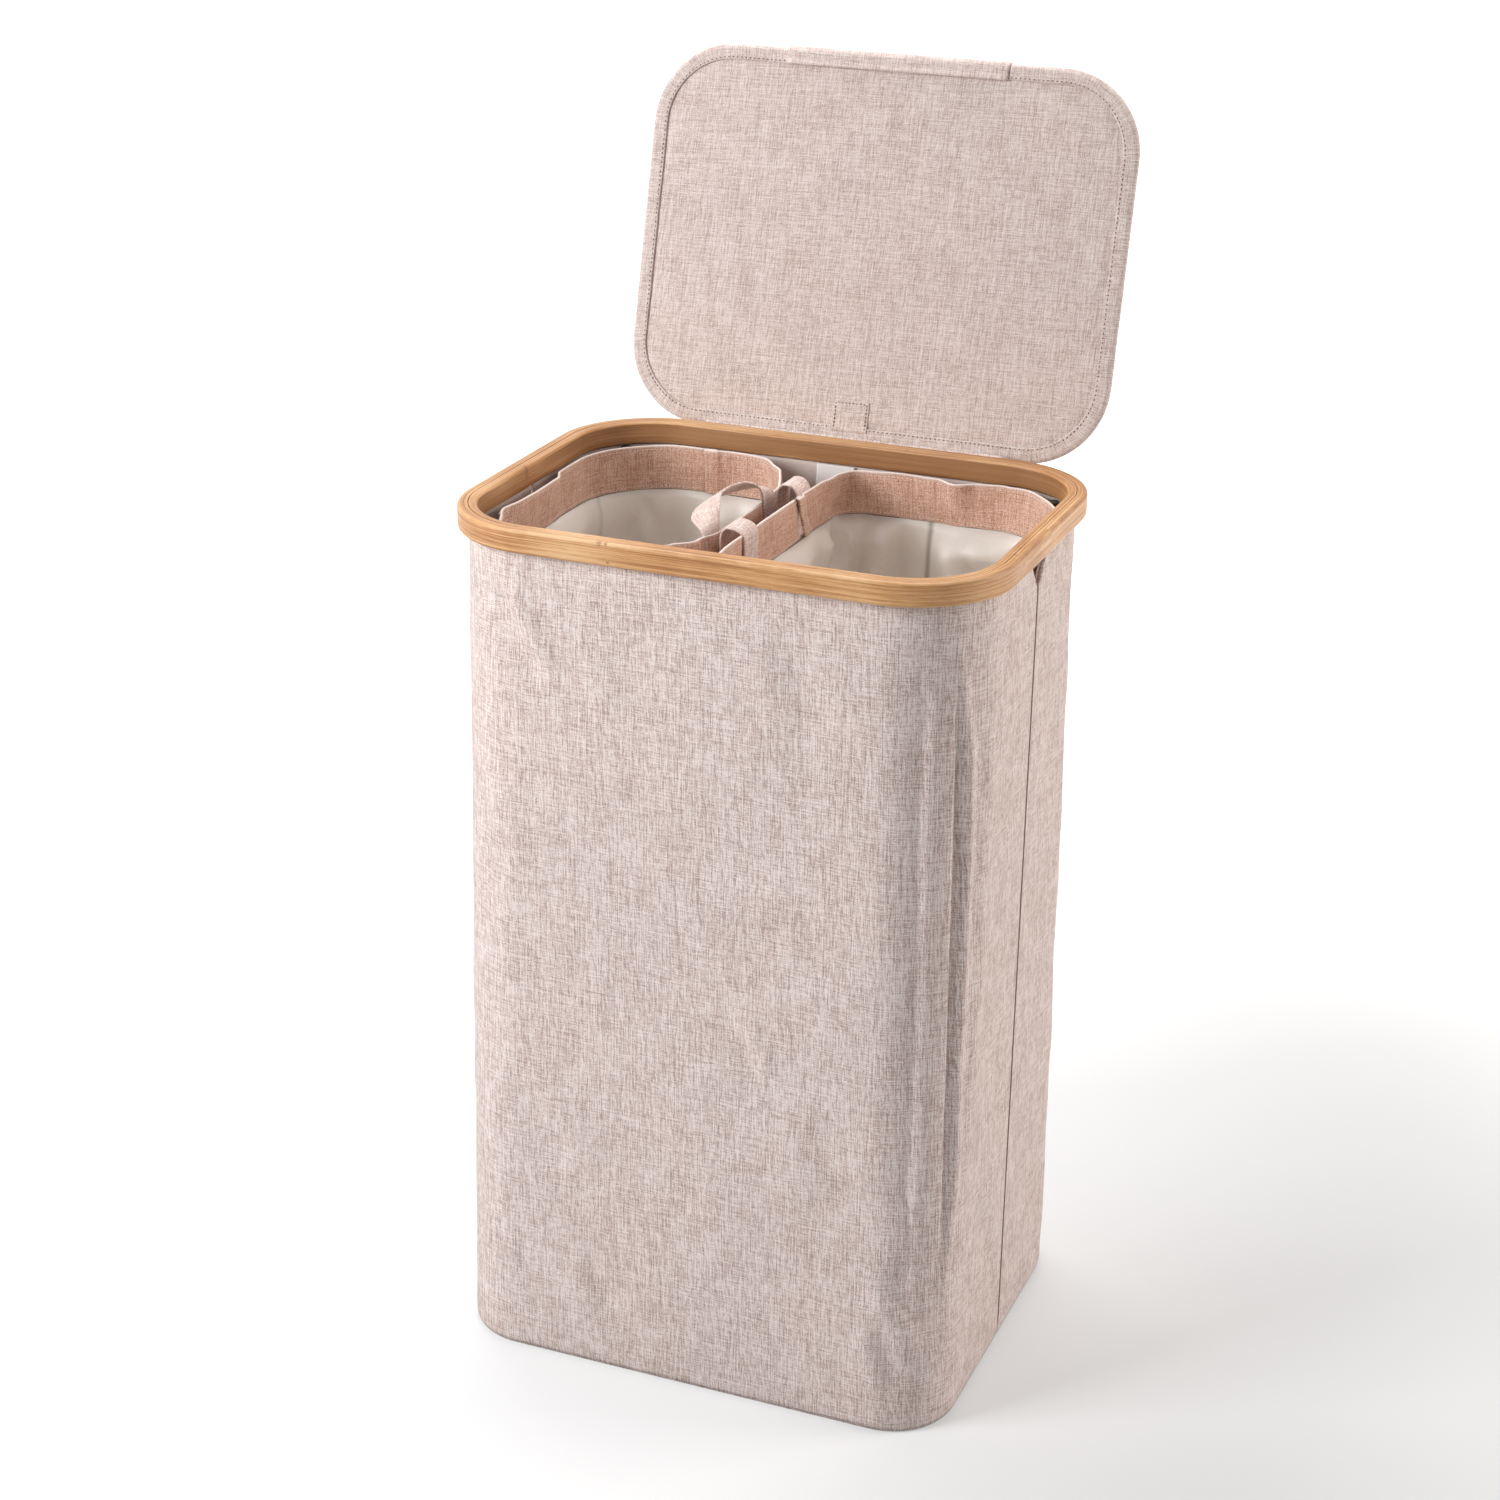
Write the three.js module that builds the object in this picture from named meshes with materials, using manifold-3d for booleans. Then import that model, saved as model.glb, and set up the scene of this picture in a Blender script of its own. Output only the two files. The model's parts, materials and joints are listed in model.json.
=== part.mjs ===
// A laundry hamper with two lift-out bags, in millimetres, +Z up, the front towards -Y.
// The origin is the centre of the base on the floor. The lid stands open, as it is shown.
import * as THREE from 'three';
import { mergeVertices } from 'three/addons/utils/BufferGeometryUtils.js';
import Module from 'manifold-3d';

const wasm = await Module();
wasm.setup();

// Driving dimensions of the whole hamper
const hamperHeight = 640;
const rimWidth = 400;
const rimDepth = 300;
const rimCornerRadius = 74;
const gap = 0.3;
const cutOverrun = 8;
// Rings that nest in each other turn their corners in as many steps
const cornerSteps = 8;
const turnSteps = 16;

// The rim is two bent bamboo bands, with the cloth's hem held in a groove between them
const rimHeight = 17;
const outerBandThickness = 7.4;
const innerBandThickness = 6.3;
const rimEdgeRound = 2.6;
const glueLineChamfer = 0.5;
const hemGrooveDepth = 10;

// Cloth walls, their bottom and what stiffens them. The foot is narrower than the hem at each side
// and comes further out at the front and the back.
const footDrawIn = 1.8;
const footFlare = 8.7;
const footCornerRadius = 50;
const wallThickness = 2;
const wallFootHeight = 2.1;
const bottomThickness = 1.8;
const bottomInset = 2.6;
const facingHeight = 36;
const facingThickness = 1.8;
const facingTopGap = 0.8;
const wallRowStep = 44;
const seamTapeWidth = 14;
const seamTapeThickness = 0.8;
const bottomTapeHeight = 12;
const boardThickness = 3;

// Hand cut-outs below the rim in the middle of both sides
const handCutWidth = 41;
const handCutDepth = 27;

// Corner rods in cloth sleeves, plugged into sockets under the rim
const rodRadius = 2.5;
const sleeveThickness = 0.9;
const sleeveFootHeight = 26;
const sleeveTopDrop = 34;
const socketHeight = 16;
const socketCeiling = 3;
const socketWall = 1.6;
const capHeight = 10;
const capFloor = 2;
const capWall = 1.2;

// Lid, in its closed place over the rim, and the axis on which its hinge strip turns
const lidWidth = 376;
const lidDepth = 283;
const lidCornerRadius = 61;
const lidRearSetback = 9;
const lidOpenAngle = THREE.MathUtils.degToRad(104.35);
const hingeAxisInset = 2.6;
const hingeAxisDrop = 9.4;
const lidBoardThickness = 2.4;
const coverThickness = 0.9;
const bindingWidth = 11.5;
const bindingThickness = 0.9;
const pullTabWidth = 171;
const pullTabReach = 11.5;
const pullTabThickness = 1.3;
const pullTabProud = 1.2;
const centreTabWidth = 28;
const centreTabHeight = 23;
const centreTabThickness = 0.8;
const centreTabRise = 7.5;
const hingeStripWidth = 236;
const hingeStripThickness = 1;
const hingeStripSewn = 14;
const hingeStripSteps = 32;

// The white tape that hangs inside the back wall
const rearTapeWidth = 30;
const rearTapeLength = 36;
const rearTapeThickness = 0.8;
const rearTapeTwistShare = 0.16;
const strapCentreX = -6;

// Bags: a cloth collar on a thin lining, with two handles each
const bagSideRoom = 3.5;
const bagDivideX = -14;
const bagDivideGap = 20;
const bagSocketRoom = 1.5;
const leftBagInnerRadius = 44;
const rightBagInnerRadius = 26;
const collarHeight = 34;
const collarThickness = 2;
const collarTopDrop = 1.5;
const collarRoll = 0.7;
const liningThickness = 1.4;
const handleWidth = 24;
const handleThickness = 1.5;
const handleSewnLength = 30;
const handleSpacing = 102;
const innerHandleShift = 8;
const handleRise = 9;
const handleDrop = 46;
const handleBend = 6;
const hoopRise = 18;
const hoopForward = 18;
const hoopLean = 9;
const handleSteps = 48;

// Hook and loop strips that hold each bag at the front and the back
const stripWidth = 42;
const stripHeight = 18;
const stripTopDrop = 6;
const hookThickness = 2;

// Sizes that follow
const rimBottom = hamperHeight - rimHeight;
const rimOutline = roundedOutline(rimWidth, rimDepth, rimCornerRadius);
const rimThickness = outerBandThickness + gap + innerBandThickness;
const hemInset = outerBandThickness + gap;
const hemTop = rimBottom + hemGrooveDepth - gap;
const hemOutline = roundedOutline(
  rimWidth - 2 * hemInset, rimDepth - 2 * hemInset, rimCornerRadius - hemInset);
const footOutline = roundedOutline(
  2 * (hemOutline.halfWidth - footDrawIn), 2 * (hemOutline.halfDepth + footFlare), footCornerRadius);
const innerFace = wallThickness + gap;
const facingInset = innerFace + facingThickness;
const facingBottom = rimBottom - facingTopGap - facingHeight;
const boardBottom = bottomThickness + gap;
const boardTop = boardBottom + boardThickness;
const tapeTop = boardBottom + bottomTapeHeight;
const collarTop = rimBottom - collarTopDrop;
const collarBottom = collarTop - collarHeight;
const hookFaceY = rimOutline.halfDepth - rimThickness - 2 * gap;
const bagHalfDepth = hookFaceY - hookThickness - gap;
const bagSideX = rimOutline.halfWidth - rimThickness - bagSideRoom;
const sleeveInner = rodRadius + gap;
const sleeveOuter = sleeveInner + sleeveThickness;
const socketOuter = sleeveInner + socketWall;
const capOuter = sleeveInner + capWall;
const socketInset = facingInset + 2 * gap + socketOuter;
const capInset = innerFace + seamTapeThickness + 2 * gap + capOuter;
const bagOuterRadius = radiusPastSocket();
const lidSeat = pullTabThickness + 2 * gap;
const lidThickness = lidBoardThickness + 2 * coverThickness + 4 * gap + 2 * bindingThickness;

// Soft dents of the front and back walls. Each runs from one point to another, in shares of the top's
// half width (from the middle, +X positive) and of the wall's height, and has its share of the full depth.
const frontDentShares = [
  { from: [0.78, 0.92], to: [0.86, 0.56], depth: 1 },
  { from: [0.86, 0.56], to: [0.82, 0.20], depth: 0.9 },
  { from: [-0.74, 0.94], to: [-0.56, 0.84], depth: 0.6 },
  { from: [-0.68, 0.33], to: [-0.40, 0.14], depth: 0.5 },
  { from: [0.16, 0.48], to: [0.30, 0.36], depth: 0.45 },
  { from: [0.66, 0.20], to: [0.80, 0.09], depth: 0.5 },
];
const backDentShares = [
  { from: [-0.80, 0.24], to: [-0.76, 0.88], depth: 0.9 },
  { from: [0.78, 0.30], to: [0.72, 0.84], depth: 0.8 },
  { from: [-0.12, 0.20], to: [0.16, 0.36], depth: 0.5 },
];
const dentSpread = 24;
const dentDepth = 3.4;
const wallSag = 2.2;
// Dents fade out round the corners, before the rods
const cornerFacingShare = 0.8;

function roundedOutline(width, depth, radius) {
  return { halfWidth: width / 2, halfDepth: depth / 2, radius };
}

// One loop of stations round a rounded rectangle, counter-clockwise from the middle of the right side.
// A station is a centre, in shares of the rectangle between the corner centres, and an angle.
function loopStations(sideSteps, faceSteps) {
  const corners = [[1, 1], [-1, 1], [-1, -1], [1, -1]];
  const stations = [];
  for (let step = 0; step < sideSteps; step += 1) {
    stations.push({ cx: 1, cy: step / sideSteps, angle: 0 });
  }
  corners.forEach(([cx, cy], corner) => {
    const start = corner * Math.PI / 2;
    for (let step = 0; step < cornerSteps; step += 1) {
      stations.push({ cx, cy, angle: start + step / cornerSteps * Math.PI / 2 });
    }
    const angle = start + Math.PI / 2;
    const [nextX, nextY] = corners[(corner + 1) % corners.length];
    const onFace = corner % 2 === 0;
    const last = corner === corners.length - 1;
    const steps = onFace ? faceSteps : last ? sideSteps : 2 * sideSteps;
    const run = last ? 0.5 : 1;
    for (let step = 0; step < steps; step += 1) {
      const share = run * step / steps;
      stations.push({ cx: cx + (nextX - cx) * share, cy: cy + (nextY - cy) * share, angle });
    }
  });
  return stations;
}

// Where a station lies on an outline, a little inside it
function onOutline(station, outline, inset) {
  const reach = outline.radius - inset;
  return new THREE.Vector2(
    station.cx * (outline.halfWidth - outline.radius) + reach * Math.cos(station.angle),
    station.cy * (outline.halfDepth - outline.radius) + reach * Math.sin(station.angle));
}

function blendOutlines(low, high, share) {
  return {
    halfWidth: THREE.MathUtils.lerp(low.halfWidth, high.halfWidth, share),
    halfDepth: THREE.MathUtils.lerp(low.halfDepth, high.halfDepth, share),
    radius: THREE.MathUtils.lerp(low.radius, high.radius, share),
  };
}

// The outline of the cloth walls at a height: straight from the foot to the facing below the rim
function wallOutline(height) {
  return blendOutlines(footOutline, hemOutline, THREE.MathUtils.clamp(height / facingBottom, 0, 1));
}

// How far the front or back wall is pressed in at a point: a slight sag and a few soft dents
function wallDent(x, height, dents) {
  const share = (height - tapeTop) / (facingBottom - tapeTop);
  if (share <= 0 || share >= 1) return 0;
  const free = Math.min(height - tapeTop, facingBottom - height) / (2 * dentSpread);
  const sag = wallSag * Math.sin(Math.PI * share);
  return Math.min(free, 1) * dents.reduce((depth, dent) => {
    const start = new THREE.Vector2(dent.from[0] * hemOutline.halfWidth, dent.from[1] * rimBottom);
    const end = new THREE.Vector2(dent.to[0] * hemOutline.halfWidth, dent.to[1] * rimBottom);
    const nearest = new THREE.Vector3();
    new THREE.Line3(new THREE.Vector3(start.x, start.y, 0), new THREE.Vector3(end.x, end.y, 0))
      .closestPointToPoint(new THREE.Vector3(x, height, 0), true, nearest);
    const distance = nearest.distanceTo(new THREE.Vector3(x, height, 0)) / dentSpread;
    return depth + dent.depth * dentDepth * Math.exp(-distance * distance);
  }, sag);
}

// A point of the cloth wall, on or inside its outer face
function onWall(station, height, inset) {
  const outline = wallOutline(height);
  const facing = (Math.abs(Math.sin(station.angle)) - cornerFacingShare) / (1 - cornerFacingShare);
  if (facing <= 0) {
    const point = onOutline(station, outline, inset);
    return new THREE.Vector3(point.x, point.y, height);
  }
  const dents = Math.sin(station.angle) < 0 ? frontDentShares : backDentShares;
  const pressed = facing * wallDent(onOutline(station, outline, inset).x, height, dents);
  const point = onOutline(station, outline, inset + pressed);
  return new THREE.Vector3(point.x, point.y, height);
}

// The heights of the walls' rows of points: the foot, the tape's top, even steps and the hem
function wallRows() {
  const steps = Math.round((facingBottom - tapeTop) / wallRowStep);
  const even = Array.from({ length: steps + 1 }, (_, step) => (
    THREE.MathUtils.lerp(tapeTop, facingBottom, step / steps)));
  return [wallFootHeight, ...even, hemTop];
}

// A closed mesh with shared points, ready to be a solid
function closed(geometry) {
  geometry.deleteAttribute('normal');
  geometry.deleteAttribute('uv');
  const merged = mergeVertices(geometry);
  merged.computeVertexNormals();
  return merged;
}

// A sheet: a thin box whose points go where place(along, up, out) puts them, each from 0 to 1
function sheet(alongSteps, upSteps, place) {
  const geometry = new THREE.BoxGeometry(1, 1, 1, alongSteps, upSteps, 1);
  const position = geometry.attributes.position;
  for (let i = 0; i < position.count; i += 1) {
    const along = position.getX(i) + 0.5;
    const up = position.getY(i) + 0.5;
    const out = position.getZ(i) + 0.5;
    const point = place(along, up, out);
    position.setXYZ(i, point.x, point.y, point.z);
  }
  return closed(geometry);
}

// A closed band: a lathe of a closed profile, whose rings are led to the stations of a loop.
// The profile's points are an inset from the outline (x) and a height (y), clockwise.
function band(profile, stations, place) {
  const turnRadius = Math.max(...profile.map((point) => point.x)) + stations.length;
  const loop = [...profile, profile[0]];
  const turned = loop.map((point) => new THREE.Vector2(turnRadius - point.x, point.y));
  const geometry = new THREE.LatheGeometry(turned, stations.length);
  const position = geometry.attributes.position;
  for (let i = 0; i < position.count; i += 1) {
    const ring = Math.floor(i / loop.length) % stations.length;
    const point = place(stations[ring], loop[i % loop.length]);
    position.setXYZ(i, point.x, point.y, point.z);
  }
  return closed(geometry);
}

function flatBand(profile, stations, outline) {
  return band(profile, stations, (station, point) => {
    const place = onOutline(station, outline, point.x);
    return new THREE.Vector3(place.x, place.y, point.y);
  });
}

// A band's rectangular profile
function stripProfile(inset, thickness, bottom, height) {
  return [
    new THREE.Vector2(inset, bottom),
    new THREE.Vector2(inset, bottom + height),
    new THREE.Vector2(inset + thickness, bottom + height),
    new THREE.Vector2(inset + thickness, bottom),
  ];
}

// The points of a quarter round in a profile, between two angles
function roundCorner(centreX, centreY, radius, startAngle, endAngle, steps) {
  return Array.from({ length: steps + 1 }, (_, step) => {
    const angle = THREE.MathUtils.lerp(startAngle, endAngle, step / steps);
    return new THREE.Vector2(
      centreX + radius * Math.cos(angle), centreY + radius * Math.sin(angle));
  });
}

// A flat plate with round corners
function plate(outline, inset, bottom, thickness) {
  const halfWidth = outline.halfWidth - inset;
  const halfDepth = outline.halfDepth - inset;
  const radius = outline.radius - inset;
  const shape = new THREE.Shape();
  const quarter = Math.PI / 2;
  shape.absarc(halfWidth - radius, halfDepth - radius, radius, 0, quarter);
  shape.absarc(radius - halfWidth, halfDepth - radius, radius, quarter, 2 * quarter);
  shape.absarc(radius - halfWidth, radius - halfDepth, radius, 2 * quarter, 3 * quarter);
  shape.absarc(halfWidth - radius, radius - halfDepth, radius, 3 * quarter, 4 * quarter);
  const geometry = new THREE.ExtrudeGeometry(
    shape, { depth: thickness, bevelEnabled: false, curveSegments: cornerSteps });
  geometry.translate(0, 0, bottom);
  return closed(geometry);
}

// A strip of even width and thickness along a curve, with the direction of its width at each share
function ribbon(curve, acrossAt, width, thickness, steps) {
  return sheet(steps, 1, (along, up, out) => {
    const tangent = curve.getTangent(along);
    const wide = acrossAt(along);
    const across = wide.addScaledVector(tangent, -wide.dot(tangent)).normalize();
    const normal = tangent.clone().cross(across);
    return curve.getPoint(along)
      .addScaledVector(across, (up - 0.5) * width)
      .addScaledVector(normal, (out - 0.5) * thickness);
  });
}

// A route of straight runs with a rounded bend at each place between its ends
function bentRoute(places, bend) {
  const route = new THREE.CurvePath();
  let start = places[0];
  places.slice(1, -1).forEach((corner, index) => {
    const last = places[index];
    const next = places[index + 2];
    const before = corner.clone().lerp(last, Math.min(bend / corner.distanceTo(last), 0.5));
    const after = corner.clone().lerp(next, Math.min(bend / corner.distanceTo(next), 0.5));
    route.add(new THREE.LineCurve3(start, before));
    route.add(new THREE.QuadraticBezierCurve3(before, corner, after));
    start = after;
  });
  route.add(new THREE.LineCurve3(start, places[places.length - 1]));
  return route;
}

// A strap through places, each with the direction of the strap's width there
function strap(keys, bend, width, thickness, steps) {
  const places = keys.map((key) => key.place);
  const lengths = places.slice(1).map((place, index) => place.distanceTo(places[index]));
  const whole = lengths.reduce((sum, length) => sum + length);
  const acrossAt = (share) => {
    let left = share * whole;
    const index = lengths.findIndex((length, i) => {
      if (left <= length || i === lengths.length - 1) return true;
      left -= length;
      return false;
    });
    return keys[index].across.clone().lerp(keys[index + 1].across, left / lengths[index]);
  };
  return ribbon(bentRoute(places, bend), acrossAt, width, thickness, steps);
}

function toManifold(geometry) {
  const source = closed(geometry.clone());
  return new wasm.Manifold(new wasm.Mesh({
    numProp: 3,
    vertProperties: new Float32Array(source.attributes.position.array),
    triVerts: new Uint32Array(source.index.array),
  }));
}

function fromManifold(solid) {
  const mesh = solid.getMesh();
  const geometry = new THREE.BufferGeometry();
  geometry.setAttribute('position', new THREE.BufferAttribute(mesh.vertProperties, 3));
  geometry.setIndex(new THREE.BufferAttribute(mesh.triVerts, 1));
  geometry.computeVertexNormals();
  return geometry;
}

function cut(geometry, cutter) {
  return fromManifold(toManifold(geometry).subtract(toManifold(cutter)));
}

const bamboo = new THREE.Color(0xd0a070);
const linen = new THREE.Color(0xd2c1b9);
const linenInside = new THREE.Color(0xc4b0a6);
const liningCloth = new THREE.Color(0xc9c0b6);
const tapeWhite = new THREE.Color(0xf0ece8);
const boardGrey = new THREE.Color(0x9a9084);
const steel = new THREE.Color(0xb8babd);
const mouldedBlack = new THREE.Color(0x2c2c2e);

function part(name, geometry, color, roughness = 0.85, metalness = 0) {
  const material = new THREE.MeshStandardMaterial({ color, roughness, metalness });
  const mesh = new THREE.Mesh(geometry, material);
  mesh.name = name;
  return mesh;
}

// Rim

function rim() {
  const group = new THREE.Group();
  const stations = loopStations(2, 4);
  const round = rimEdgeRound;
  const roundSteps = 3;
  const half = Math.PI / 2;
  const outerProfile = [
    ...roundCorner(round, rimBottom + round, round, 3 * half, 2 * half, roundSteps),
    ...roundCorner(round, hamperHeight - round, round, 2 * half, half, roundSteps),
    new THREE.Vector2(outerBandThickness - glueLineChamfer, hamperHeight),
    new THREE.Vector2(outerBandThickness, hamperHeight - glueLineChamfer),
    new THREE.Vector2(outerBandThickness, rimBottom),
  ];
  group.add(part('rim_outer_band', flatBand(outerProfile, stations, rimOutline), bamboo, 0.55));

  const grooveInset = hemInset + wallThickness + gap;
  const innerProfile = [
    new THREE.Vector2(grooveInset, rimBottom),
    new THREE.Vector2(grooveInset, rimBottom + hemGrooveDepth),
    new THREE.Vector2(hemInset, rimBottom + hemGrooveDepth),
    new THREE.Vector2(hemInset, hamperHeight - glueLineChamfer),
    new THREE.Vector2(hemInset + glueLineChamfer, hamperHeight),
    ...roundCorner(rimThickness - round, hamperHeight - round, round, half, 0, roundSteps),
    ...roundCorner(rimThickness - round, rimBottom + round, round, 0, -half, roundSteps),
  ];
  group.add(part('rim_inner_band', flatBand(innerProfile, stations, rimOutline), bamboo, 0.55));
  return group;
}

// Cloth walls, in a front and a back half that meet at the side seams

// The hand cut-out is a V that goes on through the hem, which the rim hides there
function handCutter() {
  const shape = new THREE.Shape();
  const slope = handCutWidth / 2 / handCutDepth;
  const top = hemGrooveDepth + cutOverrun;
  shape.moveTo(0, -handCutDepth);
  shape.lineTo(slope * (handCutDepth + top), top);
  shape.lineTo(-slope * (handCutDepth + top), top);
  shape.closePath();
  const length = rimWidth + 2 * cutOverrun;
  const geometry = new THREE.ExtrudeGeometry(shape, { depth: length, bevelEnabled: false });
  geometry.translate(0, 0, -length / 2);
  geometry.rotateX(Math.PI / 2);
  geometry.rotateZ(Math.PI / 2);
  geometry.translate(0, 0, rimBottom);
  return geometry;
}

function walls() {
  const group = new THREE.Group();
  const stations = loopStations(3, 15);
  const half = stations.length / 2;
  const rows = wallRows();
  const wallHalf = (first, side) => sheet(half, rows.length - 1, (along, up, out) => {
    const station = stations[(first + Math.round(along * half)) % stations.length];
    const height = rows[Math.round(up * (rows.length - 1))];
    const point = onWall(station, height, wallThickness * (1 - out));
    point.y = side * Math.max(side * point.y, gap / 2);
    return point;
  });
  group.add(part('front_wall', cut(wallHalf(half, -1), handCutter()), linen));
  group.add(part('back_wall', cut(wallHalf(0, 1), handCutter()), linen));

  const facing = flatBand(
    stripProfile(innerFace, facingThickness, facingBottom, facingHeight),
    loopStations(2, 2), hemOutline);
  group.add(part('top_facing', cut(facing, handCutter()), linenInside));

  [['left', -1], ['right', 1]].forEach(([name, side]) => {
    const bottom = tapeTop + gap;
    const top = facingBottom - gap;
    const station = { cx: side, cy: 0, angle: side > 0 ? 0 : Math.PI };
    const tape = sheet(1, 6, (along, up, out) => {
      const height = bottom + up * (top - bottom);
      const inset = innerFace + seamTapeThickness * (1 - out);
      const face = onWall(station, height, inset);
      return new THREE.Vector3(face.x, (along - 0.5) * seamTapeWidth * side, height);
    });
    group.add(part(`${name}_seam_tape`, tape, linenInside));
  });
  return group;
}

// Bottom, its tape and the stiff board on it

function base() {
  const group = new THREE.Group();
  group.add(part('bottom_panel', plate(footOutline, bottomInset, 0, bottomThickness), linenInside));
  const boardInset = innerFace + seamTapeThickness + gap;
  const tapeProfile = stripProfile(innerFace, seamTapeThickness, boardBottom, bottomTapeHeight);
  const tape = band(tapeProfile, loopStations(2, 10), (station, point) => (
    onWall(station, point.y, point.x)));
  group.add(part('bottom_tape', tape, linenInside));
  group.add(part('base_board', plate(footOutline, boardInset + gap, boardBottom, boardThickness),
    boardGrey));
  return group;
}

// Corner rods, their cloth sleeves, top sockets and foot caps

function lathe(points) {
  const profile = [...points, points[0]].map(([radius, height]) => new THREE.Vector2(radius, height));
  const geometry = new THREE.LatheGeometry(profile, turnSteps);
  geometry.rotateX(Math.PI / 2);
  return closed(geometry);
}

// The middle of a corner's rod on an outline, seen from above
function rodPlace(sideX, sideY, outline, inset) {
  return onOutline({ cx: sideX, cy: sideY, angle: Math.atan2(sideY, sideX) }, outline, inset);
}

// The radius with which a bag's corner, touching its side and its end, passes the rod's socket
function radiusPastSocket() {
  const socket = rodPlace(1, 1, hemOutline, socketInset);
  const beside = bagSideX - socket.x;
  const behind = bagHalfDepth - socket.y;
  const clear = socketOuter + bagSocketRoom;
  const sum = beside + behind + clear;
  return sum + Math.sqrt(sum ** 2 - beside ** 2 - behind ** 2 + clear ** 2);
}

function cornerRods() {
  const group = new THREE.Group();
  const places = [
    ['front_left', -1, -1], ['front_right', 1, -1], ['back_right', 1, 1], ['back_left', -1, 1],
  ];
  places.forEach(([name, sideX, sideY]) => {
    const footPlace = rodPlace(sideX, sideY, footOutline, capInset);
    const topPlace = rodPlace(sideX, sideY, hemOutline, socketInset);
    const foot = new THREE.Vector3(footPlace.x, footPlace.y, boardTop + 2 * gap);
    const top = new THREE.Vector3(topPlace.x, topPlace.y, rimBottom - 2 * gap);
    const run = top.clone().sub(foot);
    const length = run.length();
    const corner = new THREE.Group();
    corner.position.copy(foot);
    corner.quaternion.setFromUnitVectors(new THREE.Vector3(0, 0, 1), run.normalize());

    const rodBottom = capFloor + gap;
    const rodLength = length - rodBottom - socketCeiling - gap;
    const rod = new THREE.CylinderGeometry(rodRadius, rodRadius, rodLength, turnSteps);
    rod.rotateX(Math.PI / 2);
    rod.translate(0, 0, rodBottom + rodLength / 2);
    corner.add(part(`${name}_rod`, closed(rod), steel, 0.35, 0.8));
    corner.add(part(`${name}_rod_sleeve`, lathe([
      [sleeveInner, sleeveFootHeight], [sleeveOuter, sleeveFootHeight],
      [sleeveOuter, length - sleeveTopDrop], [sleeveInner, length - sleeveTopDrop],
    ]), linenInside));
    corner.add(part(`${name}_rod_socket`, lathe([
      [0, length], [0, length - socketCeiling], [sleeveInner, length - socketCeiling],
      [sleeveInner, length - socketHeight], [socketOuter, length - socketHeight],
      [socketOuter, length],
    ]), mouldedBlack, 0.5));
    corner.add(part(`${name}_rod_cap`, lathe([
      [0, capFloor], [0, 0], [capOuter, 0], [capOuter, capHeight], [sleeveInner, capHeight],
      [sleeveInner, capFloor],
    ]), mouldedBlack, 0.5));
    group.add(corner);
  });
  return group;
}

// Lid, modelled closed round its hinge axis and then turned open

function lid() {
  const group = new THREE.Group();
  const axisY = rimOutline.halfDepth - hingeAxisInset;
  const axisZ = hamperHeight - hingeAxisDrop;
  const faceZ = hingeAxisDrop + lidSeat;
  const rearY = hingeAxisInset - lidRearSetback;
  const centreY = rearY - lidDepth / 2;
  const outline = roundedOutline(lidWidth, lidDepth, lidCornerRadius);
  const coverInset = bindingThickness + gap;
  const stations = loopStations(1, 2);
  const innerCoverZ = bindingThickness + gap;
  const boardZ = innerCoverZ + coverThickness + gap;
  const outerCoverZ = boardZ + lidBoardThickness + gap;

  group.add(part('lid_inner_cover', plate(outline, coverInset, innerCoverZ, coverThickness), linen));
  group.add(part('lid_board', plate(outline, coverInset, boardZ, lidBoardThickness), boardGrey));
  group.add(part('lid_outer_cover', plate(outline, coverInset, outerCoverZ, coverThickness), linen));

  const ease = bindingThickness;
  const quarter = Math.PI / 2;
  const upper = lidThickness - bindingThickness;
  const bindingProfile = [
    new THREE.Vector2(bindingWidth, 0),
    ...roundCorner(ease, ease, ease, 3 * quarter, 2 * quarter, 2),
    ...roundCorner(ease, lidThickness - ease, ease, 2 * quarter, quarter, 2),
    new THREE.Vector2(bindingWidth, lidThickness),
    new THREE.Vector2(bindingWidth, upper),
    new THREE.Vector2(bindingThickness, upper),
    new THREE.Vector2(bindingThickness, bindingThickness),
    new THREE.Vector2(bindingWidth, bindingThickness),
  ];
  group.add(part('lid_binding', flatBand(bindingProfile, stations, outline), linen));

  const frontY = -outline.halfDepth;
  const tabShape = new THREE.Shape();
  const tabInner = gap + pullTabProud;
  tabShape.moveTo(pullTabReach, -gap);
  tabShape.lineTo(pullTabReach, -gap - pullTabThickness);
  tabShape.lineTo(-tabInner, -gap - pullTabThickness);
  tabShape.absarc(-tabInner, -gap, pullTabThickness, 3 * quarter, 2 * quarter, true);
  tabShape.absarc(-tabInner, lidThickness + gap, pullTabThickness, 2 * quarter, quarter, true);
  tabShape.lineTo(pullTabReach, lidThickness + gap + pullTabThickness);
  tabShape.lineTo(pullTabReach, lidThickness + gap);
  tabShape.lineTo(-tabInner, lidThickness + gap);
  tabShape.lineTo(-tabInner, -gap);
  tabShape.closePath();
  const tab = new THREE.ExtrudeGeometry(
    tabShape, { depth: pullTabWidth, bevelEnabled: false, curveSegments: 4 });
  tab.translate(0, 0, -pullTabWidth / 2);
  tab.rotateX(Math.PI / 2);
  tab.rotateZ(Math.PI / 2);
  tab.translate(0, frontY, 0);
  group.add(part('lid_pull_tab', closed(tab), linen));

  const centreTab = new THREE.BoxGeometry(centreTabWidth, centreTabHeight, centreTabThickness);
  centreTab.translate(
    strapCentreX, outline.halfDepth - centreTabRise - centreTabHeight / 2,
    -gap - centreTabThickness / 2);
  group.add(part('lid_centre_tab', closed(centreTab), linen));

  group.children.forEach((mesh) => mesh.position.set(0, centreY, faceZ));
  group.position.set(0, axisY, axisZ);
  group.rotation.x = -lidOpenAngle;
  return group;
}

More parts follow.
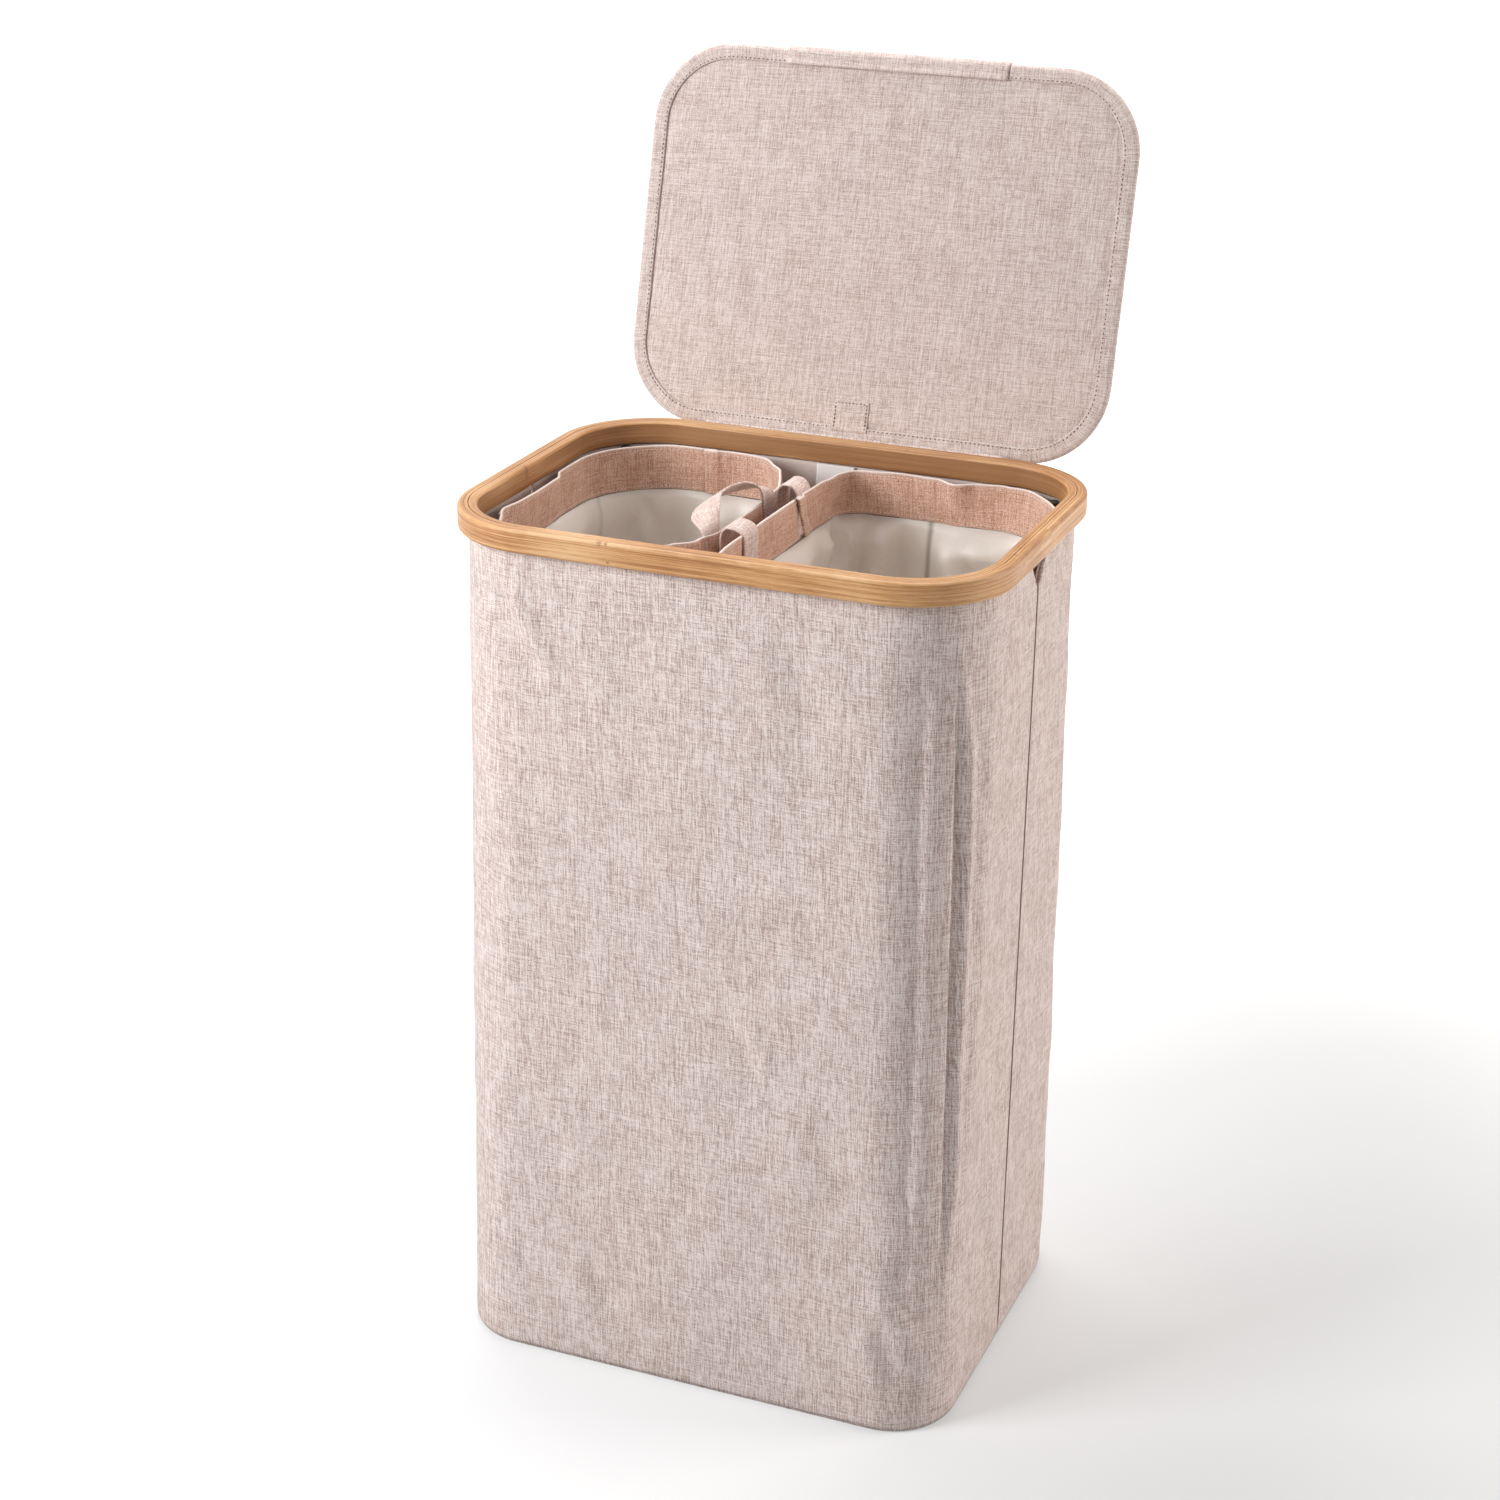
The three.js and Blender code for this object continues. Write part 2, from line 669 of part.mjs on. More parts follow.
// The cloth hinge strip: sewn to the back wall below the rim, up behind the rim and under the lid
function hingeStrip() {
  const half = hingeStripThickness / 2;
  const wallY = hemOutline.halfDepth + gap + half;
  const behindY = rimOutline.halfDepth + gap + half;
  const bendZ = rimBottom - gap - half;
  const lean = lidOpenAngle - Math.PI / 2;
  const rise = hingeAxisDrop + lidSeat;
  const setback = lidRearSetback - hingeAxisInset;
  const along = new THREE.Vector2(Math.sin(lean), Math.cos(lean));
  const out = new THREE.Vector2(Math.cos(lean), -Math.sin(lean));
  const edge = new THREE.Vector2(rimOutline.halfDepth - hingeAxisInset, hamperHeight - hingeAxisDrop)
    .addScaledVector(along, setback - gap - half)
    .addScaledVector(out, rise);
  const end = edge.clone().addScaledVector(out, lidThickness);
  const places = [
    [wallY, bendZ - hingeStripSewn], [wallY, bendZ], [behindY, bendZ],
    [behindY, edge.y], [edge.x, edge.y], [end.x, end.y],
  ].map(([y, z]) => new THREE.Vector3(0, y, z));
  const route = bentRoute(places, hingeStripThickness);
  const acrossAt = () => new THREE.Vector3(-1, 0, 0);
  const strip = ribbon(route, acrossAt, hingeStripWidth, hingeStripThickness, hingeStripSteps);
  return part('lid_hinge_strip', strip, linen);
}

// The white tape inside the back wall, between the bags
function rearTape() {
  const faceY = hemOutline.halfDepth - facingInset - gap - rearTapeThickness;
  const top = rimBottom - facingTopGap;
  const across = new THREE.Vector3(-1, 0, 0);
  const twisted = new THREE.Vector3(-1, 0, rearTapeTwistShare);
  const keys = [
    { place: new THREE.Vector3(strapCentreX, faceY, top), across },
    { place: new THREE.Vector3(strapCentreX, faceY, top - rearTapeLength / 2), across: twisted },
    { place: new THREE.Vector3(strapCentreX, faceY - gap, top - rearTapeLength), across: twisted },
  ];
  const tape = strap(keys, rearTapeLength / 2, rearTapeWidth, rearTapeThickness, 6);
  return part('rear_tape', tape, tapeWhite);
}

// Bags

// A bag's outline: far from the middle its corners follow the rods, near it they are tighter
function bagOutline(side) {
  const inner = bagDivideX + side * bagDivideGap / 2;
  const outer = side * bagSideX;
  const width = Math.abs(outer - inner);
  const innerRadius = side < 0 ? leftBagInnerRadius : rightBagInnerRadius;
  return { centreX: (inner + outer) / 2, halfWidth: width / 2, halfDepth: bagHalfDepth, innerRadius, side };
}

function onBag(station, bag, inset) {
  const outward = station.cx * bag.side > 0;
  const radius = outward ? bagOuterRadius : bag.innerRadius;
  const reach = radius - inset;
  return new THREE.Vector2(
    bag.centreX + station.cx * (bag.halfWidth - radius) + reach * Math.cos(station.angle),
    station.cy * (bag.halfDepth - radius) + reach * Math.sin(station.angle));
}

function bagBand(profile, stations, bag) {
  return band(profile, stations, (station, point) => {
    const place = onBag(station, bag, point.x);
    return new THREE.Vector3(place.x, place.y, point.y);
  });
}

// The stations of a bag leave out the middle of its front and back, where the corner radius changes
function bagStations() {
  return loopStations(2, 1);
}

function bagFloor(bag, bottom, thickness) {
  const shape = new THREE.Shape(bagStations().map((station) => onBag(station, bag, 0)));
  const geometry = new THREE.ExtrudeGeometry(shape, { depth: thickness, bevelEnabled: false });
  geometry.translate(0, 0, bottom);
  return closed(geometry);
}

// The middle of the flat stretch of a bag's front and back, between its corners
function flatCentreX(bag) {
  return bag.centreX + bag.side * (bag.innerRadius - bagOuterRadius) / 2;
}

// The two ends of a handle along the bag's side
function handleEnds(shift) {
  return [shift - handleSpacing / 2, shift + handleSpacing / 2];
}

// How far a handle's middle line lies from a side wall, inside or outside the collar
function handleFaces(bag, outerSide) {
  const out = outerSide ? bag.side : -bag.side;
  const face = bag.centreX + out * bag.halfWidth;
  const half = gap + handleThickness / 2;
  return { out, inside: face - out * (collarThickness + half), outside: face + out * half };
}

// A handle that is folded over the collar's edge and hangs down outside the bag
function hangingHandle(bag, outerSide, spread) {
  const { out, inside, outside } = handleFaces(bag, outerSide);
  const [first, second] = handleEnds(outerSide ? 0 : innerHandleShift);
  const away = outside + out * spread;
  const crest = collarTop + gap + handleThickness / 2 + Math.max(spread, handleBend / 2);
  const leg = (y, across) => [
    [inside, collarTop - handleSewnLength], [inside, crest], [away, crest],
    [away, collarTop - handleDrop / 2],
  ].map(([x, z]) => ({ place: new THREE.Vector3(x, y, z), across }));
  const bottom = (y, across) => ({
    place: new THREE.Vector3(away, y, collarTop - handleDrop), across,
  });
  const ahead = new THREE.Vector3(0, out, 0);
  const turned = new THREE.Vector3(0, out, out);
  const turnedBack = new THREE.Vector3(0, -out, out);
  const keys = [
    ...leg(first, ahead),
    bottom(first + handleWidth / 2, turned), bottom(second - handleWidth / 2, turnedBack),
    ...leg(second, ahead.clone().negate()).reverse(),
  ];
  return strap(keys, handleBend, handleWidth, handleThickness, handleSteps);
}

// The handle that stands up as a hoop, from inside the collar at the front to outside it at the back
function standingHandle(bag) {
  const { out, inside, outside } = handleFaces(bag, false);
  const [first, second] = handleEnds(innerHandleShift);
  const crest = collarTop + hoopRise;
  const lean = inside - out * hoopLean;
  const ahead = new THREE.Vector3(0, out, 0);
  const flat = new THREE.Vector3(-1, 0, 0);
  const keys = [
    [inside, first, collarTop - handleSewnLength, ahead],
    [inside, first, collarTop + handleBend, ahead],
    [inside - out * handleThickness, first - hoopForward / 2, collarTop + hoopRise / 2,
      ahead.clone().lerp(flat, 0.5)],
    [lean, first - hoopForward / 3, crest - hoopRise / 4, flat],
    [lean, first + hoopForward, crest, flat],
    [lean, second - hoopForward, crest, flat],
    [(lean + outside) / 2, second - hoopForward / 3, collarTop + hoopRise / 2,
      ahead.clone().negate().lerp(flat, 0.5)],
    [outside, second, collarTop + handleBend, ahead.clone().negate()],
    [outside, second, collarTop - handleSewnLength, ahead.clone().negate()],
  ].map(([x, y, z, across]) => ({ place: new THREE.Vector3(x, y, z), across }));
  return strap(keys, handleBend, handleWidth, handleThickness, handleSteps);
}

function bag(name, side) {
  const group = new THREE.Group();
  const outline = bagOutline(side);
  const stations = bagStations();
  const floorBottom = boardTop + gap;
  const liningBottom = floorBottom + liningThickness + gap;
  const liningTop = collarBottom - gap;
  const collarProfile = [
    new THREE.Vector2(0, collarBottom),
    new THREE.Vector2(0, collarTop - collarRoll),
    new THREE.Vector2(collarRoll, collarTop),
    new THREE.Vector2(collarThickness - collarRoll, collarTop),
    new THREE.Vector2(collarThickness, collarTop - collarRoll),
    new THREE.Vector2(collarThickness, collarBottom),
  ];
  group.add(part(`${name}_collar`, bagBand(collarProfile, stations, outline), linen));
  const liningProfile = stripProfile(0, liningThickness, liningBottom, liningTop - liningBottom);
  group.add(part(`${name}_lining`, bagBand(liningProfile, stations, outline), liningCloth));
  group.add(part(`${name}_floor`, bagFloor(outline, floorBottom, liningThickness), liningCloth));

  const innerHandle = side < 0 ? standingHandle(outline) : hangingHandle(outline, false, handleRise);
  group.add(part(`${name}_inner_handle`, innerHandle, linen));
  group.add(part(`${name}_outer_handle`, hangingHandle(outline, true, 0), linen));

  [['front', -1], ['back', 1]].forEach(([place, end]) => {
    const strip = stripBox(
      flatCentreX(outline), end * (bagHalfDepth + gap + hookThickness / 2), hookThickness);
    group.add(part(`${name}_${place}_hook_strip`, strip, tapeWhite));
  });
  return group;
}

function stripBox(x, y, thickness) {
  const geometry = new THREE.BoxGeometry(stripWidth, thickness, stripHeight);
  geometry.translate(x, y, collarTop - stripTopDrop - stripHeight / 2);
  return closed(geometry);
}

// The loop strips on the facing, one behind each hook strip
function loopStrips() {
  const group = new THREE.Group();
  const facingFace = hemOutline.halfDepth - facingInset - gap;
  const nearFace = hookFaceY + gap;
  const thickness = facingFace - nearFace;
  [['left', -1], ['right', 1]].forEach(([name, side]) => {
    [['front', -1], ['back', 1]].forEach(([place, end]) => {
      const strip = stripBox(
        flatCentreX(bagOutline(side)), end * (nearFace + thickness / 2), thickness);
      group.add(part(`${name}_${place}_loop_strip`, strip, tapeWhite));
    });
  });
  return group;
}

const hamper = new THREE.Group();
hamper.add(rim(), walls(), base(), cornerRods(), loopStrips(), rearTape(), hingeStrip(), lid());
hamper.add(bag('left_bag', -1), bag('right_bag', 1));

export default hamper;
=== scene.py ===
# %% [markdown]
# # A laundry hamper with two lift-out bags
#
# The real hamper is a linen-look cloth body that hangs from a bent bamboo rim. Two cloth bags stand in
# it, and a cloth-covered lid turns on a strip of cloth behind the rim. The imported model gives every
# piece its size and place. This file gives the pieces their cloth, wood, seams and folds.

# %% Load the frame
import json
import math

import bmesh
import bpy
import numpy as np
from mathutils import Matrix, Quaternion, Vector, noise


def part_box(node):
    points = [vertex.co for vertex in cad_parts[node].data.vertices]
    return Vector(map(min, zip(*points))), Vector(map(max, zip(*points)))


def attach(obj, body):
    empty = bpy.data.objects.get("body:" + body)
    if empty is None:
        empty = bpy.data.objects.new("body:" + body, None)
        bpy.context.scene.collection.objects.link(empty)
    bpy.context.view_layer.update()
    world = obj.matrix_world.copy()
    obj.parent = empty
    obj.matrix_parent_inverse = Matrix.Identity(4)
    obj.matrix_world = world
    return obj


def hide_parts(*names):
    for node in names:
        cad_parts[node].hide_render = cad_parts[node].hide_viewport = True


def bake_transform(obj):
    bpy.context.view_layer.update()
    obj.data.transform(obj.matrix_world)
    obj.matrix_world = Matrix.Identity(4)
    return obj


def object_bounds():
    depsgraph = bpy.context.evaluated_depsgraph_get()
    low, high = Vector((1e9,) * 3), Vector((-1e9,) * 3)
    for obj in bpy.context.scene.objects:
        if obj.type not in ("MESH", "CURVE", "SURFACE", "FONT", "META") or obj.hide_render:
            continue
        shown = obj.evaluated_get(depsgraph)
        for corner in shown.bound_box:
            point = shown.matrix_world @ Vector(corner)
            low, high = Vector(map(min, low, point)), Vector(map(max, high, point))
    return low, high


MM = 0.001
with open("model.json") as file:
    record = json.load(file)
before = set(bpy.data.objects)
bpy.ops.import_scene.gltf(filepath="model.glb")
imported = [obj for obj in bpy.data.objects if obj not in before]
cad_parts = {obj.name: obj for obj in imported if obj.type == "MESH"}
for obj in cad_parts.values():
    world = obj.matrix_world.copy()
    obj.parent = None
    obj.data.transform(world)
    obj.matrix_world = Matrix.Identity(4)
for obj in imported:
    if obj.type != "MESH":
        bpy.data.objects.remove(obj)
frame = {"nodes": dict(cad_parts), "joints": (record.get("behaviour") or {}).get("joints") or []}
cad_low, cad_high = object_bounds()
print("frame:", len(frame["nodes"]), "nodes,", [round(side, 3) for side in cad_high - cad_low])

# %% [markdown]
# ## Camera
#
# The camera was fitted to the rim, the foot and the lid of the real object. Its place could be given as
# x, y and z. Two angles and a distance from a point in the hamper are used instead, because each can be
# changed on its own while the render is compared with the photograph.

# %% Camera
camera_target = Vector((-16.7, 0, 444.4)) * MM
camera_azimuth = math.radians(21.83)
camera_elevation = math.radians(22.07)
camera_roll = math.radians(0.766)
camera_distance = 2.131
camera_lens = 70.775
camera_clip_end = 100

scene = bpy.context.scene
scene.view_settings.view_transform = "Standard"
camera = bpy.data.objects.new("camera", bpy.data.cameras.new("camera"))
scene.collection.objects.link(camera)
scene.camera = camera
towards_camera = Vector((
    math.sin(camera_azimuth) * math.cos(camera_elevation),
    -math.cos(camera_azimuth) * math.cos(camera_elevation),
    math.sin(camera_elevation),
))
camera.location = camera_target + towards_camera * camera_distance
camera.rotation_mode = "QUATERNION"
camera.rotation_quaternion = (-towards_camera).to_track_quat("-Z", "Y") @ Quaternion((0, 0, 1), camera_roll)
camera.data.lens = camera_lens
camera.data.clip_end = camera_clip_end
print("camera:", [round(part, 3) for part in camera.location], "with a lens of", camera_lens, "mm")

# %% [markdown]
# ## Shader sums
#
# Materials here are worked out with sums on noise and lines. A small class wraps a socket, so that a sum
# on it is written as any sum in Python and adds its Math nodes by itself.

# %% Sums on sockets
class Signal:
    """A socket of a material, on which sums can be written."""

    def __init__(self, finish, socket):
        self.finish, self.socket = finish, socket

    def sum(self, operation, *values, clamp=False):
        settings = {"operation": operation, "use_clamp": clamp}
        return self.finish.node("ShaderNodeMath", settings, dict(enumerate(values)))

    def __add__(self, other):
        return self.sum("ADD", self, other)

    def __sub__(self, other):
        return self.sum("SUBTRACT", self, other)

    def __rsub__(self, other):
        return self.sum("SUBTRACT", other, self)

    def __mul__(self, other):
        return self.sum("MULTIPLY", self, other)

    def __truediv__(self, other):
        return self.sum("DIVIDE", self, other)

    def __pow__(self, other):
        return self.sum("POWER", self, other)

    __radd__ = __add__
    __rmul__ = __mul__

    def clamped(self):
        return self.sum("ADD", self, 0, clamp=True)

    def distance_to(self, value):
        return self.sum("ABSOLUTE", self - value)

    def between(self, low, high):
        """0 below low, 1 above high, and a smooth rise between them."""
        settings = {"interpolation_type": "SMOOTHSTEP"}
        return self.finish.node("ShaderNodeMapRange", settings, {0: self, 1: low, 2: high})


# %% Finishes
yarn_slip = 0.37


class Finish:
    """A material with one Principled shader, whose constants are set by name."""

    def __init__(self, name, **constants):
        self.material = bpy.data.materials.new(name)
        self.material.use_nodes = True
        self.tree = self.material.node_tree
        self.shader = self.tree.nodes["Principled BSDF"]
        for key, value in constants.items():
            self.shader.inputs[key.replace("_", " ").title().replace("Ior", "IOR")].default_value = value

    def node(self, kind, settings=None, values=None, output=0):
        """Adds a node: its settings first, a ramp's stops among them, then its sockets' values or links."""
        made = self.tree.nodes.new(kind)
        for key, value in (settings or {}).items():
            if key == "stops":
                ramp = made.color_ramp
                for stop, (place, colour) in enumerate(value):
                    element = ramp.elements[stop] if stop < 2 else ramp.elements.new(place)
                    element.position, element.color = place, (*colour, 1)
            else:
                setattr(made, key, value)
        for key, value in (values or {}).items():
            if isinstance(value, Signal):
                self.tree.links.new(value.socket, made.inputs[key])
            else:
                made.inputs[key].default_value = value
        return Signal(self, made.outputs[output])

    def uv(self):
        return self.node("ShaderNodeUVMap", {"uv_map": "weave"})

    def attribute(self, name):
        return self.node("ShaderNodeAttribute", {"attribute_name": name}, output="Fac")

    def split(self, vector):
        """The first and the second part of a vector."""
        first = self.node("ShaderNodeSeparateXYZ", None, {0: vector})
        return first, Signal(self, first.socket.node.outputs[1])

    def scaled(self, vector, *scale):
        """A vector in metres, turned into cycles: scale holds cycles per millimetre along each axis."""
        cycles = [part / MM for part in (*scale, 0, 0)[:3]]
        return self.node("ShaderNodeVectorMath", {"operation": "MULTIPLY"}, {0: vector, 1: cycles})

    def noise(self, vector, detail=2.0, rough=0.5, kind="2D"):
        settings = {"noise_dimensions": kind}
        values = {"Vector": vector, "Scale": 1, "Detail": detail, "Roughness": rough}
        return self.node("ShaderNodeTexNoise", settings, values)

    def yarns(self, vector, fine, long, detail=2.0, rough=0.5, turned=False):
        """Thin streaks up the cloth, or across it when turned: fine and long hold cycles per millimetre."""
        first, second = self.split(vector)
        if turned:
            first, second = second, first
        first = first * (fine / MM)
        place = {0: first, 1: second * (long / MM) + first * yarn_slip}
        return self.noise(self.node("ShaderNodeCombineXYZ", None, place), detail, rough)

    def ramp(self, value, *stops):
        return self.node("ShaderNodeValToRGB", {"stops": stops}, {0: value})

    def mix(self, share, first, second, blend="MIX"):
        settings = {"data_type": "RGBA", "blend_type": blend}
        first = first if isinstance(first, Signal) else (*first, 1)
        second = second if isinstance(second, Signal) else (*second, 1)
        return self.node("ShaderNodeMix", settings, {0: share, 6: first, 7: second}, output=2)

    def feed(self, **inputs):
        for key, signal in inputs.items():
            self.tree.links.new(signal.socket, self.shader.inputs[key.replace("_", " ").title()])
        return self

    def bump(self, height, distance, strength):
        values = {"Height": height, "Distance": distance, "Strength": strength}
        return self.feed(normal=self.node("ShaderNodeBump", None, values))


# %% [markdown]
# ## Floor and backdrop
#
# The hamper stands on white paper that runs on behind it. White paper could be a plain white plane, but
# it would throw so much light back that the cloth looks flat. So this floor is grey to every ray but
# the camera's. The camera sees a glow on it as well, which grows with the distance from the hamper until
# floor and world are both white. To the right the glow is held down in a patch, a painted shadow where
# the hamper's soft shadow lies.

# %% Floor
floor_size = 30
floor_drop = 0.2 * MM
floor_grey = 0.62
floor_blue = floor_grey * 1.005
floor_lift = 0.36
backdrop_lift = 0.7
backdrop_away = (0.6, 1.7)
shade_depth = 0.3
shade_across = (0.02, 0.45)
shade_back = (-0.2, 1.2)
shade_away = (0.5, 1.7)


def white_for_camera(finish, shader, colour_strength):
    """Shows white to the camera, to mirrors and through glass, and the shader to everything else."""
    rays = finish.tree.nodes.new("ShaderNodeLightPath")
    seen = Signal(finish, rays.outputs["Is Camera Ray"])
    seen = seen.sum("MAXIMUM", seen, Signal(finish, rays.outputs["Is Glossy Ray"]))
    seen = seen.sum("MAXIMUM", seen, Signal(finish, rays.outputs["Is Transmission Ray"]))
    glow = finish.node("ShaderNodeEmission", None, {"Strength": seen * colour_strength})
    return finish.node("ShaderNodeAddShader", None, {0: shader, 1: glow})


bm = bmesh.new()
bmesh.ops.create_grid(bm, x_segments=1, y_segments=1, size=floor_size / 2)
bmesh.ops.translate(bm, vec=(0, 0, -floor_drop), verts=bm.verts)
floor_mesh = bpy.data.meshes.new("floor")
bm.to_mesh(floor_mesh)
bm.free()
floor = bpy.data.objects.new("floor", floor_mesh)
scene.collection.objects.link(floor)
floor_finish = Finish("floor_paper", Base_Color=(floor_grey, floor_grey, floor_blue, 1),
                      Roughness=0.9, Specular_IOR_Level=0.1)
output = floor_finish.tree.nodes["Material Output"]
paper = Signal(floor_finish, floor_finish.shader.outputs[0])
across, back = floor_finish.split(floor_finish.node("ShaderNodeTexCoord", output="Object"))
away = (across * across + back * back) ** 0.5
# Painted shadow: the camera's glow is held down in a patch to the right of the hamper.
shaded = across.between(*shade_across) * (1 - back.between(*shade_back)) * (1 - away.between(*shade_away))
lift = away.between(*backdrop_away) * backdrop_lift + floor_lift - shaded * shade_depth
floor_finish.tree.links.new(white_for_camera(floor_finish, paper, lift).socket, output.inputs[0])
floor_mesh.materials.append(floor_finish.material)
print("floor:", floor_size, "m wide, with", len(floor_finish.tree.nodes), "nodes in its finish")

# %% World
world_light = 0.31
world = bpy.data.worlds.new("studio")
scene.world = world
world.use_nodes = True
sky = world.node_tree.nodes["Background"]
rays = world.node_tree.nodes.new("ShaderNodeLightPath")
shown = world.node_tree.nodes.new("ShaderNodeMix")
shown.inputs[2].default_value = world_light
shown.inputs[3].default_value = 1
either = world.node_tree.nodes.new("ShaderNodeMath")
either.operation = "MAXIMUM"
for index, ray in enumerate(("Is Camera Ray", "Is Glossy Ray")):
    world.node_tree.links.new(rays.outputs[ray], either.inputs[index])
world.node_tree.links.new(either.outputs[0], shown.inputs[0])
world.node_tree.links.new(shown.outputs[0], sky.inputs["Strength"])
sky.inputs["Color"].default_value = (1, 1, 1, 1)
print("world: strength", world_light, "for the hamper, and 1 for the camera")

# %% [markdown]
# ## Lamps
#
# The real light comes from a large soft source at the front left, so the front is bright at its left and
# fades to the right. One sun would give hard edges. Three area lamps give soft ones: a cool one at the
# front left, a warm one at the right that lifts the side, and one above. The corner between the first
# two stays a little darker, as it is in the photograph.


# %% Lamps
def lamp(name, place, aim, width, height, watts, colour=(1, 1, 1)):
    data = bpy.data.lights.new(name, "AREA")
    data.shape, data.size, data.size_y = "RECTANGLE", width, height
    data.energy, data.color = watts, colour
    made = bpy.data.objects.new(name, data)
    scene.collection.objects.link(made)
    made.location = place
    made.rotation_mode = "QUATERNION"
    made.rotation_quaternion = (Vector(aim) - Vector(place)).to_track_quat("-Z", "Y")
    print(name, "lamp:", watts, "W,", width, "by", height, "m")


lamp("key", (-1.2, -1.25, 1.3), (0, 0, 0.4), 0.8, 0.9, 31.5, (0.97, 0.985, 1.0))
lamp("fill", (1.9, 0.85, 1.1), (0, 0, 0.4), 1.0, 1.2, 26, (1.0, 0.95, 0.9))
lamp("top", (-0.3, 0.6, 2.2), (0, 0, 0.6), 1.2, 0.8, 24)

# %% [markdown]
# ## The cloth finish
#
# The body is a plain weave with uneven yarns. Long thin slubs run up the cloth, finer threads cross it,
# and the dye takes unevenly over patches of a few centimetres. Noise that is stretched along the yarn
# gives such streaks, and it slips a little from yarn to yarn, so that they don't line up. A picture of
# cloth could be laid on instead, but it would repeat and blur close by. The pattern reads a UV map laid
# in real metres, so it turns round the corners with the cloth and keeps its scale on every piece. Two
# attributes of the pieces are read as well: where a folded edge gets a painted highlight, and where a
# seam gets painted shade as a dark line.

# %% Linen
fold_edge_highlight = (0.88, 0.79, 0.74)
linen_seam_shade = (0.13, 0.085, 0.07)


def linen(name, dark, middle, light, warm=0.2, streak=0.5, cross=0.38, grainy=0.95, bump=0.35):
    cloth = Finish(name, Roughness=0.92, Specular_IOR_Level=0.18, Sheen_Weight=0.08, Sheen_Roughness=0.6)
    uv = cloth.uv()
    slubs = cloth.yarns(uv, 0.9, 0.026)
    fine_warp = cloth.yarns(uv, 1.3, 0.13, 2.0, 0.6)
    weft = cloth.yarns(uv, 1.05, 0.03, turned=True)
    fine_weft = cloth.yarns(uv, 1.4, 0.15, 2.0, 0.6, turned=True)
    grain = cloth.noise(cloth.scaled(uv, 1.1, 1.1), 2.0, 0.7)
    patch = cloth.noise(cloth.scaled(uv, 0.06, 0.04), 3.0, 0.6)
    drift = cloth.noise(cloth.scaled(uv, 0.012, 0.009), 2.0, 0.5)
    tone = (0.5 + (slubs - 0.5) * streak * 1.7 + (fine_warp - 0.5) * streak * 2.2
            + (weft - 0.5) * cross * 1.6 + (fine_weft - 0.5) * cross * 1.8
            + (grain - 0.5) * grainy + (patch - 0.5) * 0.26)
    colour = cloth.ramp(tone.clamped(), (0.18, dark), (0.50, middle), (0.80, light))
    tint = cloth.ramp(drift, (0.36, (0.96, 0.965, 1.0)), (0.64, (1.0, 0.965, 0.94)))
    colour = cloth.mix(warm, colour, cloth.mix(1.0, colour, tint, "MULTIPLY"))
    # Painted highlight: folded edges are coloured paler, as if they caught the light.
    colour = cloth.mix(cloth.attribute("fold_edge") * 0.75, colour, fold_edge_highlight)
    # Painted shade: a dark line along seams.
    colour = cloth.mix(cloth.attribute("seam_shade") * 0.85, colour, linen_seam_shade)
    cloth.feed(base_color=colour)
    height = slubs * 0.5 + fine_warp * 0.6 + weft * 0.7 + grain * 0.4
    return cloth.bump(height, 0.22 * MM, bump).material


body_linen = linen("body_linen", (0.40, 0.295, 0.26), (0.705, 0.578, 0.528), (0.86, 0.77, 0.735))
lid_linen = linen("lid_linen", (0.44, 0.33, 0.29), (0.69, 0.565, 0.515), (0.84, 0.745, 0.705),
                  streak=0.36, cross=0.33, grainy=0.9)
# The handles' linen is the body's cloth, coloured warmer: painted warm shade, as the bamboo's bounce gives it
# in the folds.
handle_linen = linen("handle_linen", (0.42, 0.29, 0.25), (0.68, 0.52, 0.46), (0.86, 0.75, 0.70),
                     streak=0.3, cross=0.3)
# The collars' linen is the body's cloth, coloured darker and warmer: painted warm shade, as the bamboo's
# bounce gives it in the shaded faces.
collar_linen = linen("collar_linen", (0.36, 0.175, 0.115), (0.655, 0.392, 0.285), (0.84, 0.64, 0.54),
                     streak=0.26, cross=0.22, grainy=1.2)
print("linens:", [cloth.name for cloth in (body_linen, lid_linen, handle_linen, collar_linen)])

# %% [markdown]
# ## Plain cloths and threads
#
# The bags' linings, the tapes and the sewing thread are smooth, and show no yarns from where the camera
# stands. The linen finish would do, with its streaks turned down. A plainer one is enough: two crossed
# noises for the weave and one for faint clouds, and a little shine for the linings.

# %% Plain cloths
plain_seam_shade = (0.20, 0.15, 0.12)


def plain_cloth(name, dark, light, pitch, rough=0.9, bump=0.2, shine=0.15):
    """A smooth cloth with a fine even weave and faint clouds."""
    cloth = Finish(name, Roughness=rough, Specular_IOR_Level=shine, Sheen_Weight=0.05)
    uv = cloth.uv()
    threads = cloth.noise(cloth.scaled(uv, 1 / pitch, 0.2 / pitch)) + cloth.noise(
        cloth.scaled(uv, 0.2 / pitch, 1 / pitch))
    clouds = cloth.noise(cloth.scaled(uv, 0.02, 0.02), 3.0, 0.6)
    tone = 0.5 + (threads - 1.0) * 0.45 + (clouds - 0.5) * 0.5
    colour = cloth.mix(tone.clamped(), dark, light)
    # Painted shade: a dark line where a piece marks a seam.
    cloth.feed(base_color=cloth.mix(cloth.attribute("seam_shade") * 0.7, colour, plain_seam_shade))
    return cloth.bump(threads, 0.12 * MM, bump).material


